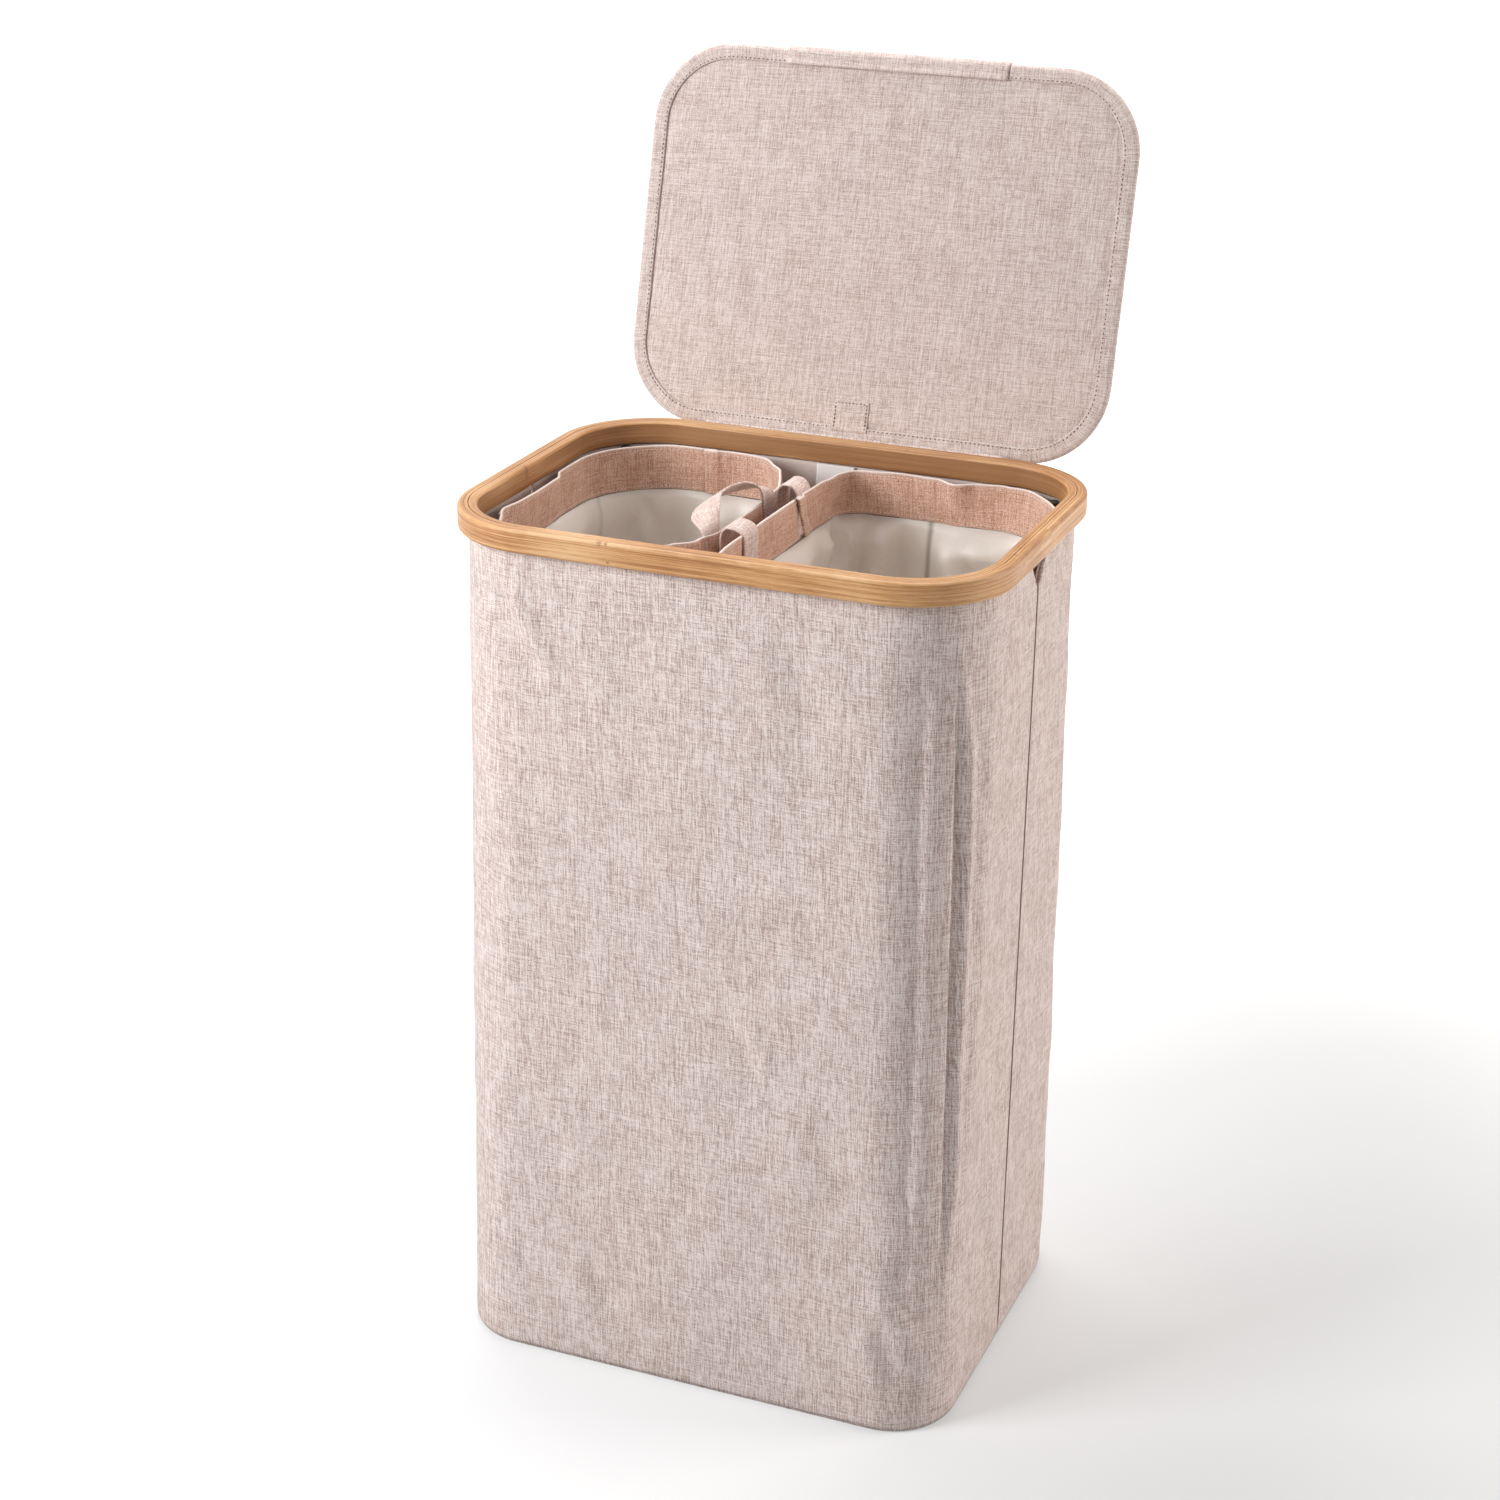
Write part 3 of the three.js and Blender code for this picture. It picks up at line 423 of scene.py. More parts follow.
lining_cloth = plain_cloth("lining_cloth", (0.81, 0.745, 0.675), (0.94, 0.89, 0.83), 0.6, 0.42,
                           shine=0.5)
inner_cloth = plain_cloth("inner_cloth", (0.56, 0.47, 0.43), (0.76, 0.67, 0.62), 0.9)
tape_cloth = plain_cloth("tape_cloth", (0.78, 0.74, 0.70), (0.93, 0.90, 0.88), 0.8)
thread = plain_cloth("thread", (0.74, 0.63, 0.56), (0.92, 0.84, 0.78), 0.5, bump=0.4)
dark_thread = plain_cloth("dark_thread", (0.12, 0.08, 0.065), (0.22, 0.155, 0.13), 0.5, bump=0.4)
print("plain cloths:", [cloth.name for cloth in (lining_cloth, inner_cloth, tape_cloth, thread, dark_thread)])

# %% [markdown]
# ## The bamboo finish
#
# Bent bamboo rims are glued up from thin strips. On their faces, the fibres run along the rim as fine
# streaks, and a node of the cane shows now and then as a short dark mark across them. On top the edges
# of the strips show as narrow lines that follow the rim. Straight lines of noise would cut across the
# corners, so the lines come from how deep a point lies inside the rim's outline, which each rim piece
# stores as an attribute. The nodes stand in a list: way round the rim and height in metres, then the
# mark's width and height in millimetres.

# %% Bamboo
ply_thickness = 2.35 * MM
dark_fibre, fibre, light_fibre = (0.33, 0.135, 0.04), (0.56, 0.277, 0.103), (0.74, 0.46, 0.235)
glue_colour = (0.30, 0.14, 0.055)
node_colour = (0.25, 0.105, 0.035)
node_places = [(0.8885, 0.6380, 3.0, 1.4), (0.8935, 0.6385, 2.2, 1.2), (0.8950, 0.6262, 2.4, 1.6),
               (0.6500, 0.6230, 5.0, 9.0), (1.2100, 0.6340, 3.0, 2.0), (0.2700, 0.6280, 3.0, 2.5)]


def bamboo(name):
    wood = Finish(name, Roughness=0.46, Specular_IOR_Level=0.4, Coat_Weight=0.2, Coat_Roughness=0.4)
    uv = wood.uv()
    fibres = wood.noise(wood.scaled(uv, 0.009, 1.5), 4.0, 0.62)
    strands = wood.noise(wood.scaled(uv, 0.004, 0.35), 2.0, 0.5)
    speck = wood.noise(wood.scaled(uv, 0.09, 2.2), 3.0, 0.65)
    drift = wood.noise(wood.scaled(uv, 0.01, 0.01), 2.0, 0.5)
    tone = 0.48 + (fibres - 0.5) * 1.6 + (strands - 0.5) * 1.0 + (speck - 0.5) * 0.7 + (drift - 0.5) * 0.9
    colour = wood.ramp(tone.clamped(), (0.12, dark_fibre), (0.5, fibre), (0.88, light_fibre))
    depth = wood.attribute("ply_depth")
    wander = (wood.noise(wood.scaled(uv, 0.01, 0.02), 1.0) - 0.5) * 0.5 * MM
    plies = (depth + wander) / ply_thickness
    line = plies.sum("FRACT", plies + 0.5) - 0.5
    glue = 1 - line.distance_to(0).between(0.04, 0.14)
    topmost = depth.between(0.5 * MM, 1.2 * MM)
    colour = wood.mix(glue * topmost * 0.8, colour, glue_colour)
    along, up = wood.split(uv)
    for place, height, wide, tall in node_places:
        beside = along.distance_to(place) + (speck - 0.5) * 5 * MM
        across = 1 - beside.between(0.1 * wide * MM, 0.6 * wide * MM)
        above = up.distance_to(height) + (fibres - 0.5) * 4 * MM
        reach = 1 - above.between(0.4 * tall * MM, tall * MM)
        colour = wood.mix(across * reach * 0.7, colour, node_colour)
    wood.feed(base_color=colour)
    return wood.bump(fibres * 0.6 + speck * 0.4 - glue * topmost * 0.8, 0.12 * MM, 0.35).material


bamboo_wood = bamboo("bamboo_wood")
print("bamboo:", len(bamboo_wood.node_tree.nodes), "nodes for", len(node_places), "nodes of the cane")

# %% [markdown]
# ## Board, metal and plastic
#
# The base board, the rods with their caps and sockets, and the hook and loop strips are hardly seen.
# One plain finish serves them all, with two colours mixed by fine noise. It reads Object coordinates,
# because these pieces have no weave to follow.


# %% Speckled finishes
def speckled(name, dark, light, rough, metallic=0.0, scale=0.8):
    """Board, metal or moulded plastic: one colour with fine speckle and a little bump."""
    plain = Finish(name, Roughness=rough, Metallic=metallic)
    place = plain.node("ShaderNodeTexCoord", output="Object")
    grain = plain.noise(plain.scaled(place, scale, scale, scale), 3.0, 0.6, "3D")
    plain.feed(base_color=plain.mix(grain, dark, light))
    return plain.bump(grain, 0.08 * MM, 0.25).material


board_finish = speckled("board_finish", (0.26, 0.21, 0.17), (0.42, 0.36, 0.30), 0.85)
rod_finish = speckled("rod_finish", (0.44, 0.45, 0.47), (0.56, 0.57, 0.59), 0.38, 0.7, 0.3)
plastic_finish = speckled("plastic_finish", (0.022, 0.022, 0.024), (0.04, 0.04, 0.042), 0.42)
print("speckled:", [finish.name for finish in (board_finish, rod_finish, plastic_finish)])

# %% [markdown]
# ## Round outlines and lofts
#
# Nearly every piece of the hamper follows a rectangle with round corners: the rim, the walls, the lid's
# edge and the bags. One helper draws such a loop of edges, rounding its corners with a bevel. A second
# bridges one loop to the next, as a loft, and cuts the faces between them into rows. A subdivided box
# could be rounded instead, but its rows would not follow the cloth's height.

# %% Outlines
nearly_nothing = 1e-7


class Outline:
    """A rectangle with round corners, seen from above."""

    def __init__(self, left, right, front, back, radius, inner_radius=None, side=1):
        self.left, self.right, self.front, self.back = left, right, front, back
        self.radius = radius
        self.inner_radius = radius if inner_radius is None else inner_radius
        self.side = side

    def inset(self, by, least=1 * MM):
        return Outline(self.left + by, self.right - by, self.front + by, self.back - by,
                       max(self.radius - by, least), max(self.inner_radius - by, least), self.side)

    def corners(self):
        right, left = (self.radius, self.inner_radius)[::self.side]
        return [(self.right, self.back, right), (self.left, self.back, left),
                (self.left, self.front, left), (self.right, self.front, right)]

    def measure(self, places):
        """How far round the outline each point lies, how deep inside it, and the length all round."""
        radius = (self.radius + self.inner_radius) / 2
        x = places[:, 0] - (self.left + self.right) / 2
        y = places[:, 1] - (self.front + self.back) / 2
        flat_x, flat_y = (self.right - self.left) / 2 - radius, (self.back - self.front) / 2 - radius
        past_x, past_y = np.abs(x) - flat_x, np.abs(y) - flat_y
        corner = (past_x > 0) & (past_y > 0)
        depth = radius - np.where(corner, np.hypot(past_x, past_y), np.maximum(past_x, past_y))
        turn = np.where(corner, np.arctan2(past_y, past_x), np.where(past_x >= past_y, 0, math.pi / 2))
        across = np.where(past_y > 0, flat_x - np.minimum(np.abs(x), flat_x), 0)
        quarter = np.minimum(np.abs(y), flat_y) + radius * turn + across
        whole = flat_x + flat_y + radius * math.pi / 2
        run = np.select([(x >= 0) & (y >= 0), (x < 0) & (y >= 0), (x < 0) & (y < 0)],
                        [quarter, 2 * whole - quarter, 2 * whole + quarter], 4 * whole - quarter)
        return run, depth, 4 * whole


def round_loop(bm, outline, height, corner_steps=16, face_cuts=11, side_cuts=7):
    """A closed loop of edges on an outline, with cuts along its straight sides."""
    known = set(bm.edges)
    points = [bm.verts.new((x, y, height)) for x, y, _ in outline.corners()]
    for first, second in zip(points, points[1:] + points[:1]):
        bm.edges.new((first, second))
    for point, (_, _, radius) in zip(points, outline.corners()):
        bmesh.ops.bevel(bm, geom=[point], offset=radius, offset_type="OFFSET", affect="VERTICES",
                        segments=corner_steps, profile=0.5, material=-1)
    for axis, cuts in ((1, face_cuts), (0, side_cuts)):
        straight = [edge for edge in bm.edges if edge not in known
                    and abs(edge.verts[0].co[axis] - edge.verts[1].co[axis]) < nearly_nothing]
        bmesh.ops.subdivide_edges(bm, edges=straight, cuts=cuts)
    return [edge for edge in bm.edges if edge not in known]


# %% Lofts
def in_order(edges):
    """The points of a loop of edges, counter-clockwise from the one in the middle of its right side."""
    points = list({point for edge in edges for point in edge.verts})
    middle = sum((point.co for point in points), Vector()) / len(points)
    turns = {point: math.atan2(point.co.y - middle.y, point.co.x - middle.x) for point in points}
    start = min(turns.values(), key=abs)
    return sorted(points, key=lambda point: (turns[point] - start) % (2 * math.pi))


def loft(bm, loops, rows=(), close=False):
    """Joins loops of edges one to the next with faces, and cuts each stretch between them into rows."""
    pairs = list(zip(loops, loops[1:])) + ([(loops[-1], loops[0])] if close else [])
    for index, (first, second) in enumerate(pairs):
        low, high = in_order(first), in_order(second)
        for place in range(len(low)):
            bm.faces.new((low[place - 1], low[place], high[place], high[place - 1]))
        if index < len(rows) and rows[index]:
            upright = [bm.edges.get(pair) for pair in zip(low, high)]
            bmesh.ops.subdivide_edges(bm, edges=upright, cuts=rows[index], use_grid_fill=True)
    bmesh.ops.recalc_face_normals(bm, faces=bm.faces)


# %% Places, weave and pieces
def places_of(mesh):
    places = np.empty(len(mesh.vertices) * 3)
    mesh.vertices.foreach_get("co", places)
    return places.reshape(-1, 3)


def set_places(mesh, places):
    mesh.vertices.foreach_set("co", np.ascontiguousarray(places, dtype=np.float32).ravel())
    mesh.update()


def outward(mesh):
    """The direction in which each point of a mesh faces."""
    normals = np.empty(len(mesh.vertices) * 3)
    mesh.vertex_normals.foreach_get("vector", normals)
    return normals.reshape(-1, 3)


def lay_weave(mesh, along, up, around=None):
    """Lays a UV map in real metres. Where it closes round a loop, its last faces run on past the start."""
    corners = np.empty(len(mesh.loops), int)
    mesh.loops.foreach_get("vertex_index", corners)
    u, v = along[corners], up[corners]
    if around:
        starts, totals = np.empty(len(mesh.polygons), int), np.empty(len(mesh.polygons), int)
        mesh.polygons.foreach_get("loop_start", starts)
        mesh.polygons.foreach_get("loop_total", totals)
        furthest = np.repeat(np.maximum.reduceat(u, starts), totals)
        u = np.where(furthest - u > around / 2, u + around, u)
    layer = mesh.uv_layers.new(name="weave")
    layer.data.foreach_set("uv", np.column_stack([u, v]).ravel())


def store(mesh, name, values):
    mesh.attributes.new(name, "FLOAT", "POINT").data.foreach_set("value", values.astype(np.float32))


def made_mesh(name, bm):
    mesh = bpy.data.meshes.new(name)
    bm.to_mesh(mesh)
    bm.free()
    mesh.shade_smooth()
    return mesh


def piece(name, mesh, body, material, slot, *nodes):
    """A finished piece: it rides on a body, takes the finish it is given and stands for CAD nodes; slot is
    not used.
    """
    made = bpy.data.objects.new(name, mesh)
    scene.collection.objects.link(made)
    mesh.materials.append(material)
    if body:
        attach(made, body)
    if nodes:
        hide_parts(*nodes)
    print(f"{name}: {len(mesh.polygons)} faces of {material.name}")
    return made


def thicken(made, thickness, offset=-1.0):
    modifier = made.modifiers.new("thickness", "SOLIDIFY")
    modifier.thickness, modifier.offset = thickness, offset
    return made


def smooth_rise(values, low, high):
    """0 below low, 1 above high, and a smooth rise between them, for a row of numbers."""
    share = np.clip((values - low) / (high - low), 0, 1)
    return share * share * (3 - 2 * share)


def runs_along(points):
    """How far along a line each of its points lies."""
    return np.concatenate([[0], np.cumsum(np.linalg.norm(np.diff(points, axis=0), axis=1))])


def whole_faces(faces):
    """Faces with all their edges and points, as bisect_plane wants them."""
    edges = list({edge for face in faces for edge in face.edges})
    return faces + edges + list({point for face in faces for point in face.verts})


def ripple(places, scale, seed=0.0):
    """Smooth unevenness from -1 to 1 at each point, whose bumps are about scale wide."""
    shift = Vector((seed, seed * 0.37, -seed))
    return np.array([noise.noise(Vector(place) / scale + shift) for place in places])


# %% [markdown]
# ## Rim
#
# The rim is two bent bands glued together. The outer one starts as four loops, one along each edge of
# its section, which are bridged and closed. The inner one starts as six, because it has the groove that
# holds the hem, which can be seen from below. A bevel then rounds the edges that a hand touches.
# A curve with a bevelled section would be quicker, but it couldn't round single edges.

# %% Rim bands
rim_low, rim_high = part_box("rim_outer_band")
rim_corner = 74 * MM
outer_band = 7.4 * MM
glue_gap = 0.15 * MM
inner_band = 6.3 * MM
groove_depth = 10 * MM
hem_room = 2.3 * MM
edge_round = 2.6 * MM
glue_round = 0.5 * MM
rim_outline = Outline(rim_low.x, rim_high.x, rim_low.y, rim_high.y, rim_corner)
inner_start = outer_band + 2 * glue_gap
rim_bottom, rim_top = rim_low.z, rim_high.z


def rim_band(name, node, section, rounded, eased):
    """A closed band: section holds an inset and a height for each edge."""
    bm = bmesh.new()
    loops = [round_loop(bm, rim_outline.inset(inset), height, 24) for inset, height in section]
    loft(bm, loops, close=True)
    for edges, radius, segments in ((rounded, edge_round, 6), (eased, glue_round, 2)):
        chosen = [edge for index in edges for edge in loops[index]]
        bmesh.ops.bevel(bm, geom=chosen, offset=radius, offset_type="OFFSET", affect="EDGES",
                        segments=segments, profile=0.5, material=-1)
    bmesh.ops.recalc_face_normals(bm, faces=bm.faces)
    mesh = made_mesh(name, bm)
    places = places_of(mesh)
    run, depth, around = rim_outline.measure(places)
    lay_weave(mesh, run, places[:, 2] - depth, around)
    store(mesh, "ply_depth", depth)
    made = piece(name, mesh, "hamper", bamboo_wood, "bamboo", node)
    made.modifiers.new("even_shading", "WEIGHTED_NORMAL")


rim_band("rim_outer_bamboo", "rim_outer_band",
         [(0, rim_bottom), (0, rim_top), (outer_band, rim_top), (outer_band, rim_bottom)], (0, 1), (2,))
groove_side = inner_start + hem_room
rim_band("rim_inner_bamboo", "rim_inner_band",
         [(inner_start, rim_bottom + groove_depth), (inner_start, rim_top),
          (inner_start + inner_band, rim_top), (inner_start + inner_band, rim_bottom),
          (groove_side, rim_bottom), (groove_side, rim_bottom + groove_depth)], (2, 3), (1,))

# %% [markdown]
# ## Cloth walls
#
# The body is a tube of cloth, sewn up at the middle of both sides and held in the rim's groove at the
# top. It is lofted from the foot to the hem and cut along the side seams. Cloth that stands on four
# corner rods is not flat: it draws in between them, is a little uneven, and keeps the creases of the box
# it was folded in. A cloth simulation could make such folds, but not these ones. So each crease is a
# soft valley with a ridge beside it, along a line of points measured from the middle of the front or
# back. Over a rod, which stands close behind the cloth, the valley can be only a millimetre or two deep.

# %% Measures of the walls
hem_outline = rim_outline.inset(inner_start)
wall_low, wall_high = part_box("front_wall")
foot_low, foot_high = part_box("bottom_panel")
bottom_inset = 2.6 * MM
foot_corner = 50 * MM
foot_outline = Outline(foot_low.x - bottom_inset, foot_high.x + bottom_inset,
                       foot_low.y - bottom_inset, foot_high.y + bottom_inset, foot_corner)
facing_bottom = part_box("top_facing")[0].z
foot_edge_inset, foot_edge_height = 1.2 * MM, 5 * MM
wall_thickness = 1.9 * MM
rod_line = hem_outline.right - hem_outline.radius * (1 - math.pi / 4)
rod_room = 1.2 * MM
sleeve_reach = 4.6 * MM
corner_slack = 12 * MM
slack_beside_rod, slack_before_rod = 11.5 * MM, 36 * MM
held_at_foot, held_at_facing, held_at_seam = 40 * MM, 10 * MM, 26 * MM
seam_cuts = (1.1 * MM, 2.4 * MM)
seam_half_width, seam_depth, seam_gap = 0.5 * MM, 1.6 * MM, 0.35 * MM
seam_shade_half_width, seam_shade_starts = 1.5 * MM, (8 * MM, 20 * MM)
drawn_in = 1.6 * MM
wall_ripples = ((1.3 * MM, 85 * MM, 0), (0.6 * MM, 32 * MM, 5))
hand_cut_half_width = 20.5 * MM
hand_cut_depth = 27 * MM
hand_cut_beside, hand_cut_below = 9 * MM, 8 * MM
print("walls:", [round(hem_outline.right * 2, 3), round(hem_outline.back * 2, 3)], "m at the hem")

# %% Creases
ridge_away = 1.7
crease_starts, crease_ends = (-0.02, 0.25), (0.75, 1.02)


class Crease:
    """A soft crease along a line of points on the cloth: a valley, and a ridge on one side of it.

    Points, depth and width are in millimetres. Where the line runs up, a side of 1 puts the ridge at
    its right. Spread widens the slope on the other side.
    """

    def __init__(self, points, depth, width, ridge=0.4, side=1, spread=1):
        self.points = np.array(points, float) * MM
        self.depth, self.width, self.ridge, self.side = depth * MM, width * MM, ridge, side
        self.spread = spread

    def pressed(self, along, up):
        """How far the cloth is pressed in at each point of the wall."""
        here = np.column_stack([along, up])
        lengths = np.linalg.norm(np.diff(self.points, axis=0), axis=1)
        starts = np.concatenate([[0], np.cumsum(lengths)[:-1]])
        best = np.full(len(here), np.inf)
        signed, share = np.zeros(len(here)), np.zeros(len(here))
        for start, end, length, before in zip(self.points, self.points[1:], lengths, starts):
            way = (end - start) / length
            reach = np.clip((here - start) @ way, 0, length)
            away = here - start - reach[:, None] * way
            distance = np.linalg.norm(away, axis=1)
            side = np.sign(away @ np.array([way[1], -way[0]]))
            nearer = distance < best
            best = np.where(nearer, distance, best)
            signed = np.where(nearer, distance * side, signed)
            share = np.where(nearer, (before + reach) / lengths.sum(), share)
        offset = self.side * signed / self.width
        offset = np.where(offset < 0, offset / self.spread, offset)
        fade = smooth_rise(share, *crease_starts) * (1 - smooth_rise(share, *crease_ends))
        valley = np.exp(-offset ** 2)
        ridge = self.ridge * np.exp(-(offset - ridge_away) ** 2)
        return self.depth * fade * (valley - ridge)


front_creases = [
    Crease([(170, 616), (179, 560), (184, 519), (187, 447), (185, 369), (184, 292), (184, 213), (181, 151),
            (174, 84)], 5.6, 5.5, 0.65, -1, 2.6),
    Crease([(150, 618), (158, 561), (165, 493), (168, 423), (168, 350), (166, 274), (163, 195), (162, 100)],
           3.8, 8.0, 0.0, -1, 3.0),
    Crease([(194, 590), (204, 470), (203, 360), (196, 240), (190, 160)], 1.8, 9, 0.5, -1),
    Crease([(-152, 604), (-142, 576), (-129, 552), (-108, 528)], 3.4, 8, 0.9, -1, 1.6),
    Crease([(-112, 560), (-96, 528), (-70, 500)], 1.6, 14, 0.6, -1),
    Crease([(146, 140), (158, 114), (172, 92), (180, 62)], 3.2, 8, 0.8, 1, 1.8),
    Crease([(142, 90), (150, 64), (157, 30)], 2.6, 7, 0.8, 1),
    Crease([(20, 304), (36, 284), (54, 258)], 2.2, 8, 0.9, -1),
    Crease([(-152, 222), (-128, 200), (-110, 176), (-100, 146)], 2.6, 16, 0.7, -1),
    Crease([(-84, 100), (-72, 78), (-58, 46)], 2.2, 9, 0.9, 1),
    Crease([(60, 600), (76, 560), (84, 512)], 1.8, 14, 0.6, 1),
    Crease([(-30, 446), (10, 420), (60, 414)], 1.4, 18, 0.6, 1),
    Crease([(-178, 480), (-168, 400), (-174, 320)], 2.0, 14, 0.6, -1),
    Crease([(234, 160), (260, 118), (288, 64)], 2.2, 9, 0.9, -1),
    Crease([(96, 250), (110, 210), (112, 160)], 1.8, 16, 0.6, 1),
    Crease([(-40, 200), (-10, 168), (4, 130)], 1.3, 14, 0.6, -1),
]
back_creases = [
    Crease([(-160, 600), (-170, 480), (-176, 360), (-172, 220)], 2.6, 14, 0.5, -1),
    Crease([(156, 590), (168, 470), (172, 330), (168, 200)], 2.2, 13, 0.5, 1),
    Crease([(-60, 200), (-20, 170), (40, 150)], 1.0, 12, 0.7, 1),
    Crease([(96, 560), (116, 530), (124, 490)], 1.2, 9, 0.7, 1),
    Crease([(-120, 110), (-136, 84), (-150, 50)], 1.2, 8, 0.7, 1),
    Crease([(20, 420), (44, 400), (80, 392)], 0.8, 12, 0.6, -1),
]
print("creases:", len(front_creases), "in the front and", len(back_creases), "in the back")

# %% Walls
wall_snap = 1e-6


def cut_hand_notch(bm, side):
    """Cuts half of the V below the rim out of both ends of a wall."""
    apex = rim_bottom - hand_cut_depth
    for face_side in (-1, 1):
        near = [face for face in bm.faces
                if face.calc_center_median().x * face_side > hem_outline.right - hand_cut_beside
                and face.calc_center_median().z > apex - hand_cut_below]
        across = Vector((0, -side * hand_cut_depth, hand_cut_half_width)).normalized()
        bmesh.ops.bisect_plane(bm, geom=whole_faces(near), dist=wall_snap, plane_co=(0, 0, apex),
                               plane_no=across, clear_outer=True)


def wall(name, node, side, creases, seed):
    """Half of the cloth tube: side is -1 for the front and 1 for the back."""
    bm = bmesh.new()
    levels = ((foot_outline.inset(foot_edge_inset), wall_low.z),
              (foot_outline, wall_low.z + foot_edge_height),
              (hem_outline, facing_bottom), (hem_outline, wall_high.z))
    loops = [round_loop(bm, outline, height, corner_steps=48, face_cuts=69, side_cuts=35)
             for outline, height in levels]
    loft(bm, loops, rows=(1, 158, 12))
    everything = bm.verts[:] + bm.edges[:] + bm.faces[:]
    bmesh.ops.bisect_plane(bm, geom=everything, dist=wall_snap, plane_co=(0, 0, 0), plane_no=(0, -side, 0),
                           clear_outer=True)
    for distance in seam_cuts:
        everything = bm.verts[:] + bm.edges[:] + bm.faces[:]
        bmesh.ops.bisect_plane(bm, geom=everything, dist=nearly_nothing, plane_co=(0, side * distance, 0),
                               plane_no=(0, 1, 0))
    cut_hand_notch(bm, side)
    bmesh.ops.recalc_face_normals(bm, faces=bm.faces)
    mesh = made_mesh(name, bm)
    places = places_of(mesh)
    run, depth, around = hem_outline.measure(places)
    run = np.where((side < 0) & (run < around / 4), run + around, run)
    lay_weave(mesh, run, places[:, 2])
    middle = around * (0.75 if side < 0 else 0.25)
    along, up = run - middle, places[:, 2]
    free = smooth_rise(up, wall_low.z, held_at_foot)
    free *= 1 - smooth_rise(up, facing_bottom - held_at_facing, rim_bottom)
    free *= smooth_rise(np.abs(places[:, 1]), seam_cuts[-1], held_at_seam)
    pressed = sum(crease.pressed(along, up) for crease in creases)
    pressed += drawn_in * np.sin(np.pi * np.clip(up / facing_bottom, 0, 1)) * np.cos(
        np.clip(along / hem_outline.right, -1, 1) * np.pi / 2)
    flat = np.column_stack([along, up, np.full(len(up), seed)])
    pressed += sum(height * ripple(flat, wide, seed + more) for height, wide, more in wall_ripples)
    normals = outward(mesh)
    normals[:, 2] = 0
    normals /= np.maximum(np.linalg.norm(normals, axis=1, keepdims=True), 1e-6)
    if (normals * places * [1, 1, 0]).sum() < 0:
        normals = -normals
    near_seam = np.abs(places[:, 1]) < seam_half_width
    past_rod = np.abs(along) - rod_line
    slack = np.where(past_rod > 0, smooth_rise(past_rod, sleeve_reach, slack_beside_rod),
                     smooth_rise(-past_rod, 2 * sleeve_reach, slack_before_rod))
    pressed = np.minimum(pressed * free, rod_room + corner_slack * slack)
    pressed += np.where(near_seam, seam_depth, 0)
    places = places - normals * pressed[:, None]
    places[:, 1] = np.where(near_seam, side * seam_gap, places[:, 1])
    set_places(mesh, places)
    # Painted shade: a dark line along the side seam, fading out towards the foot.
    at_seam = np.abs(places[:, 1]) < seam_shade_half_width
    store(mesh, "seam_shade", at_seam * smooth_rise(up, *seam_shade_starts))
    made = piece(name, mesh, "hamper", body_linen, "linen", node)
    thicken(made, wall_thickness)
    around / 2


wall("front_wall_cloth", "front_wall", -1, front_creases, 1.7)
wall("back_wall_cloth", "back_wall", 1, back_creases, 8.3)

# %% [markdown]
# ## Strips wrapped round an outline
#
# Bindings, tapes, collars and linings are long strips of cloth that go round an outline. Each is laid
# out flat as a grid, as long as the way round and as high as the strip, then bent into place. It could
# be extruded from the outline as well, but the flat grid's own sides give the weave its UV map, so the
# threads run as they do on the real strip.

# %% The way round an outline
class Ring:
    """The way round an outline: for any length along it, the place and the outward direction."""

    def __init__(self, outline, corner_steps=24):
        middle = (outline.front + outline.back) / 2
        points, turns = [(outline.right, middle)], [0.0]
        for quarter, (x, y, radius) in enumerate(outline.corners()):
            side_x, side_y = ((1, 1), (-1, 1), (-1, -1), (1, -1))[quarter]
            for step in range(corner_steps + 1):
                turn = (quarter + step / corner_steps) * math.pi / 2
                points.append((x - side_x * radius + radius * math.cos(turn),
                               y - side_y * radius + radius * math.sin(turn)))
                turns.append(turn)
        points.append(points[0])
        turns.append(2 * math.pi)
        self.points, self.turns = np.array(points), np.array(turns)
        self.lengths = runs_along(self.points)
        self.length = self.lengths[-1]

    def at(self, run):
        run = np.asarray(run) % self.length
        turn = np.interp(run, self.lengths, self.turns)
        places = [np.interp(run, self.lengths, self.points[:, axis]) for axis in (0, 1)]
        return np.column_stack(places), np.column_stack([np.cos(turn), np.sin(turn)])


# %% Flat strips, bent into place
def flat_grid(length, width, step, across_step=None):
    """A flat grid of cloth, as long and wide as given: its points are (along, across)."""
    bm = bmesh.new()
    sides = ((length, step), (width, across_step or step))
    counts = [max(int(round(side / cell)), 1) for side, cell in sides]
    bmesh.ops.create_grid(bm, x_segments=counts[0], y_segments=counts[1], size=0.5)
    bmesh.ops.translate(bm, vec=(0.5, 0.5, 0), verts=bm.verts)
    bmesh.ops.scale(bm, vec=(length, width, 1), verts=bm.verts)
    return bm


def shaped(name, bm, shape, body, material, slot, *nodes, thickness=0, offset=-1.0, at_points=None,
           closed=False):
    """Bends a flat grid: shape turns (along, across) into places. A closed strip has its ends joined."""
    mesh = made_mesh(name, bm)
    for key, values in (at_points or {}).items():
        store(mesh, key, values)
    flat = places_of(mesh)
    lay_weave(mesh, flat[:, 0], flat[:, 1])
    set_places(mesh, shape(flat[:, 0], flat[:, 1]))
    if closed:
        join_ends(mesh)
    made = piece(name, mesh, body, material, slot, *nodes)
    return thicken(made, thickness, offset) if thickness else made


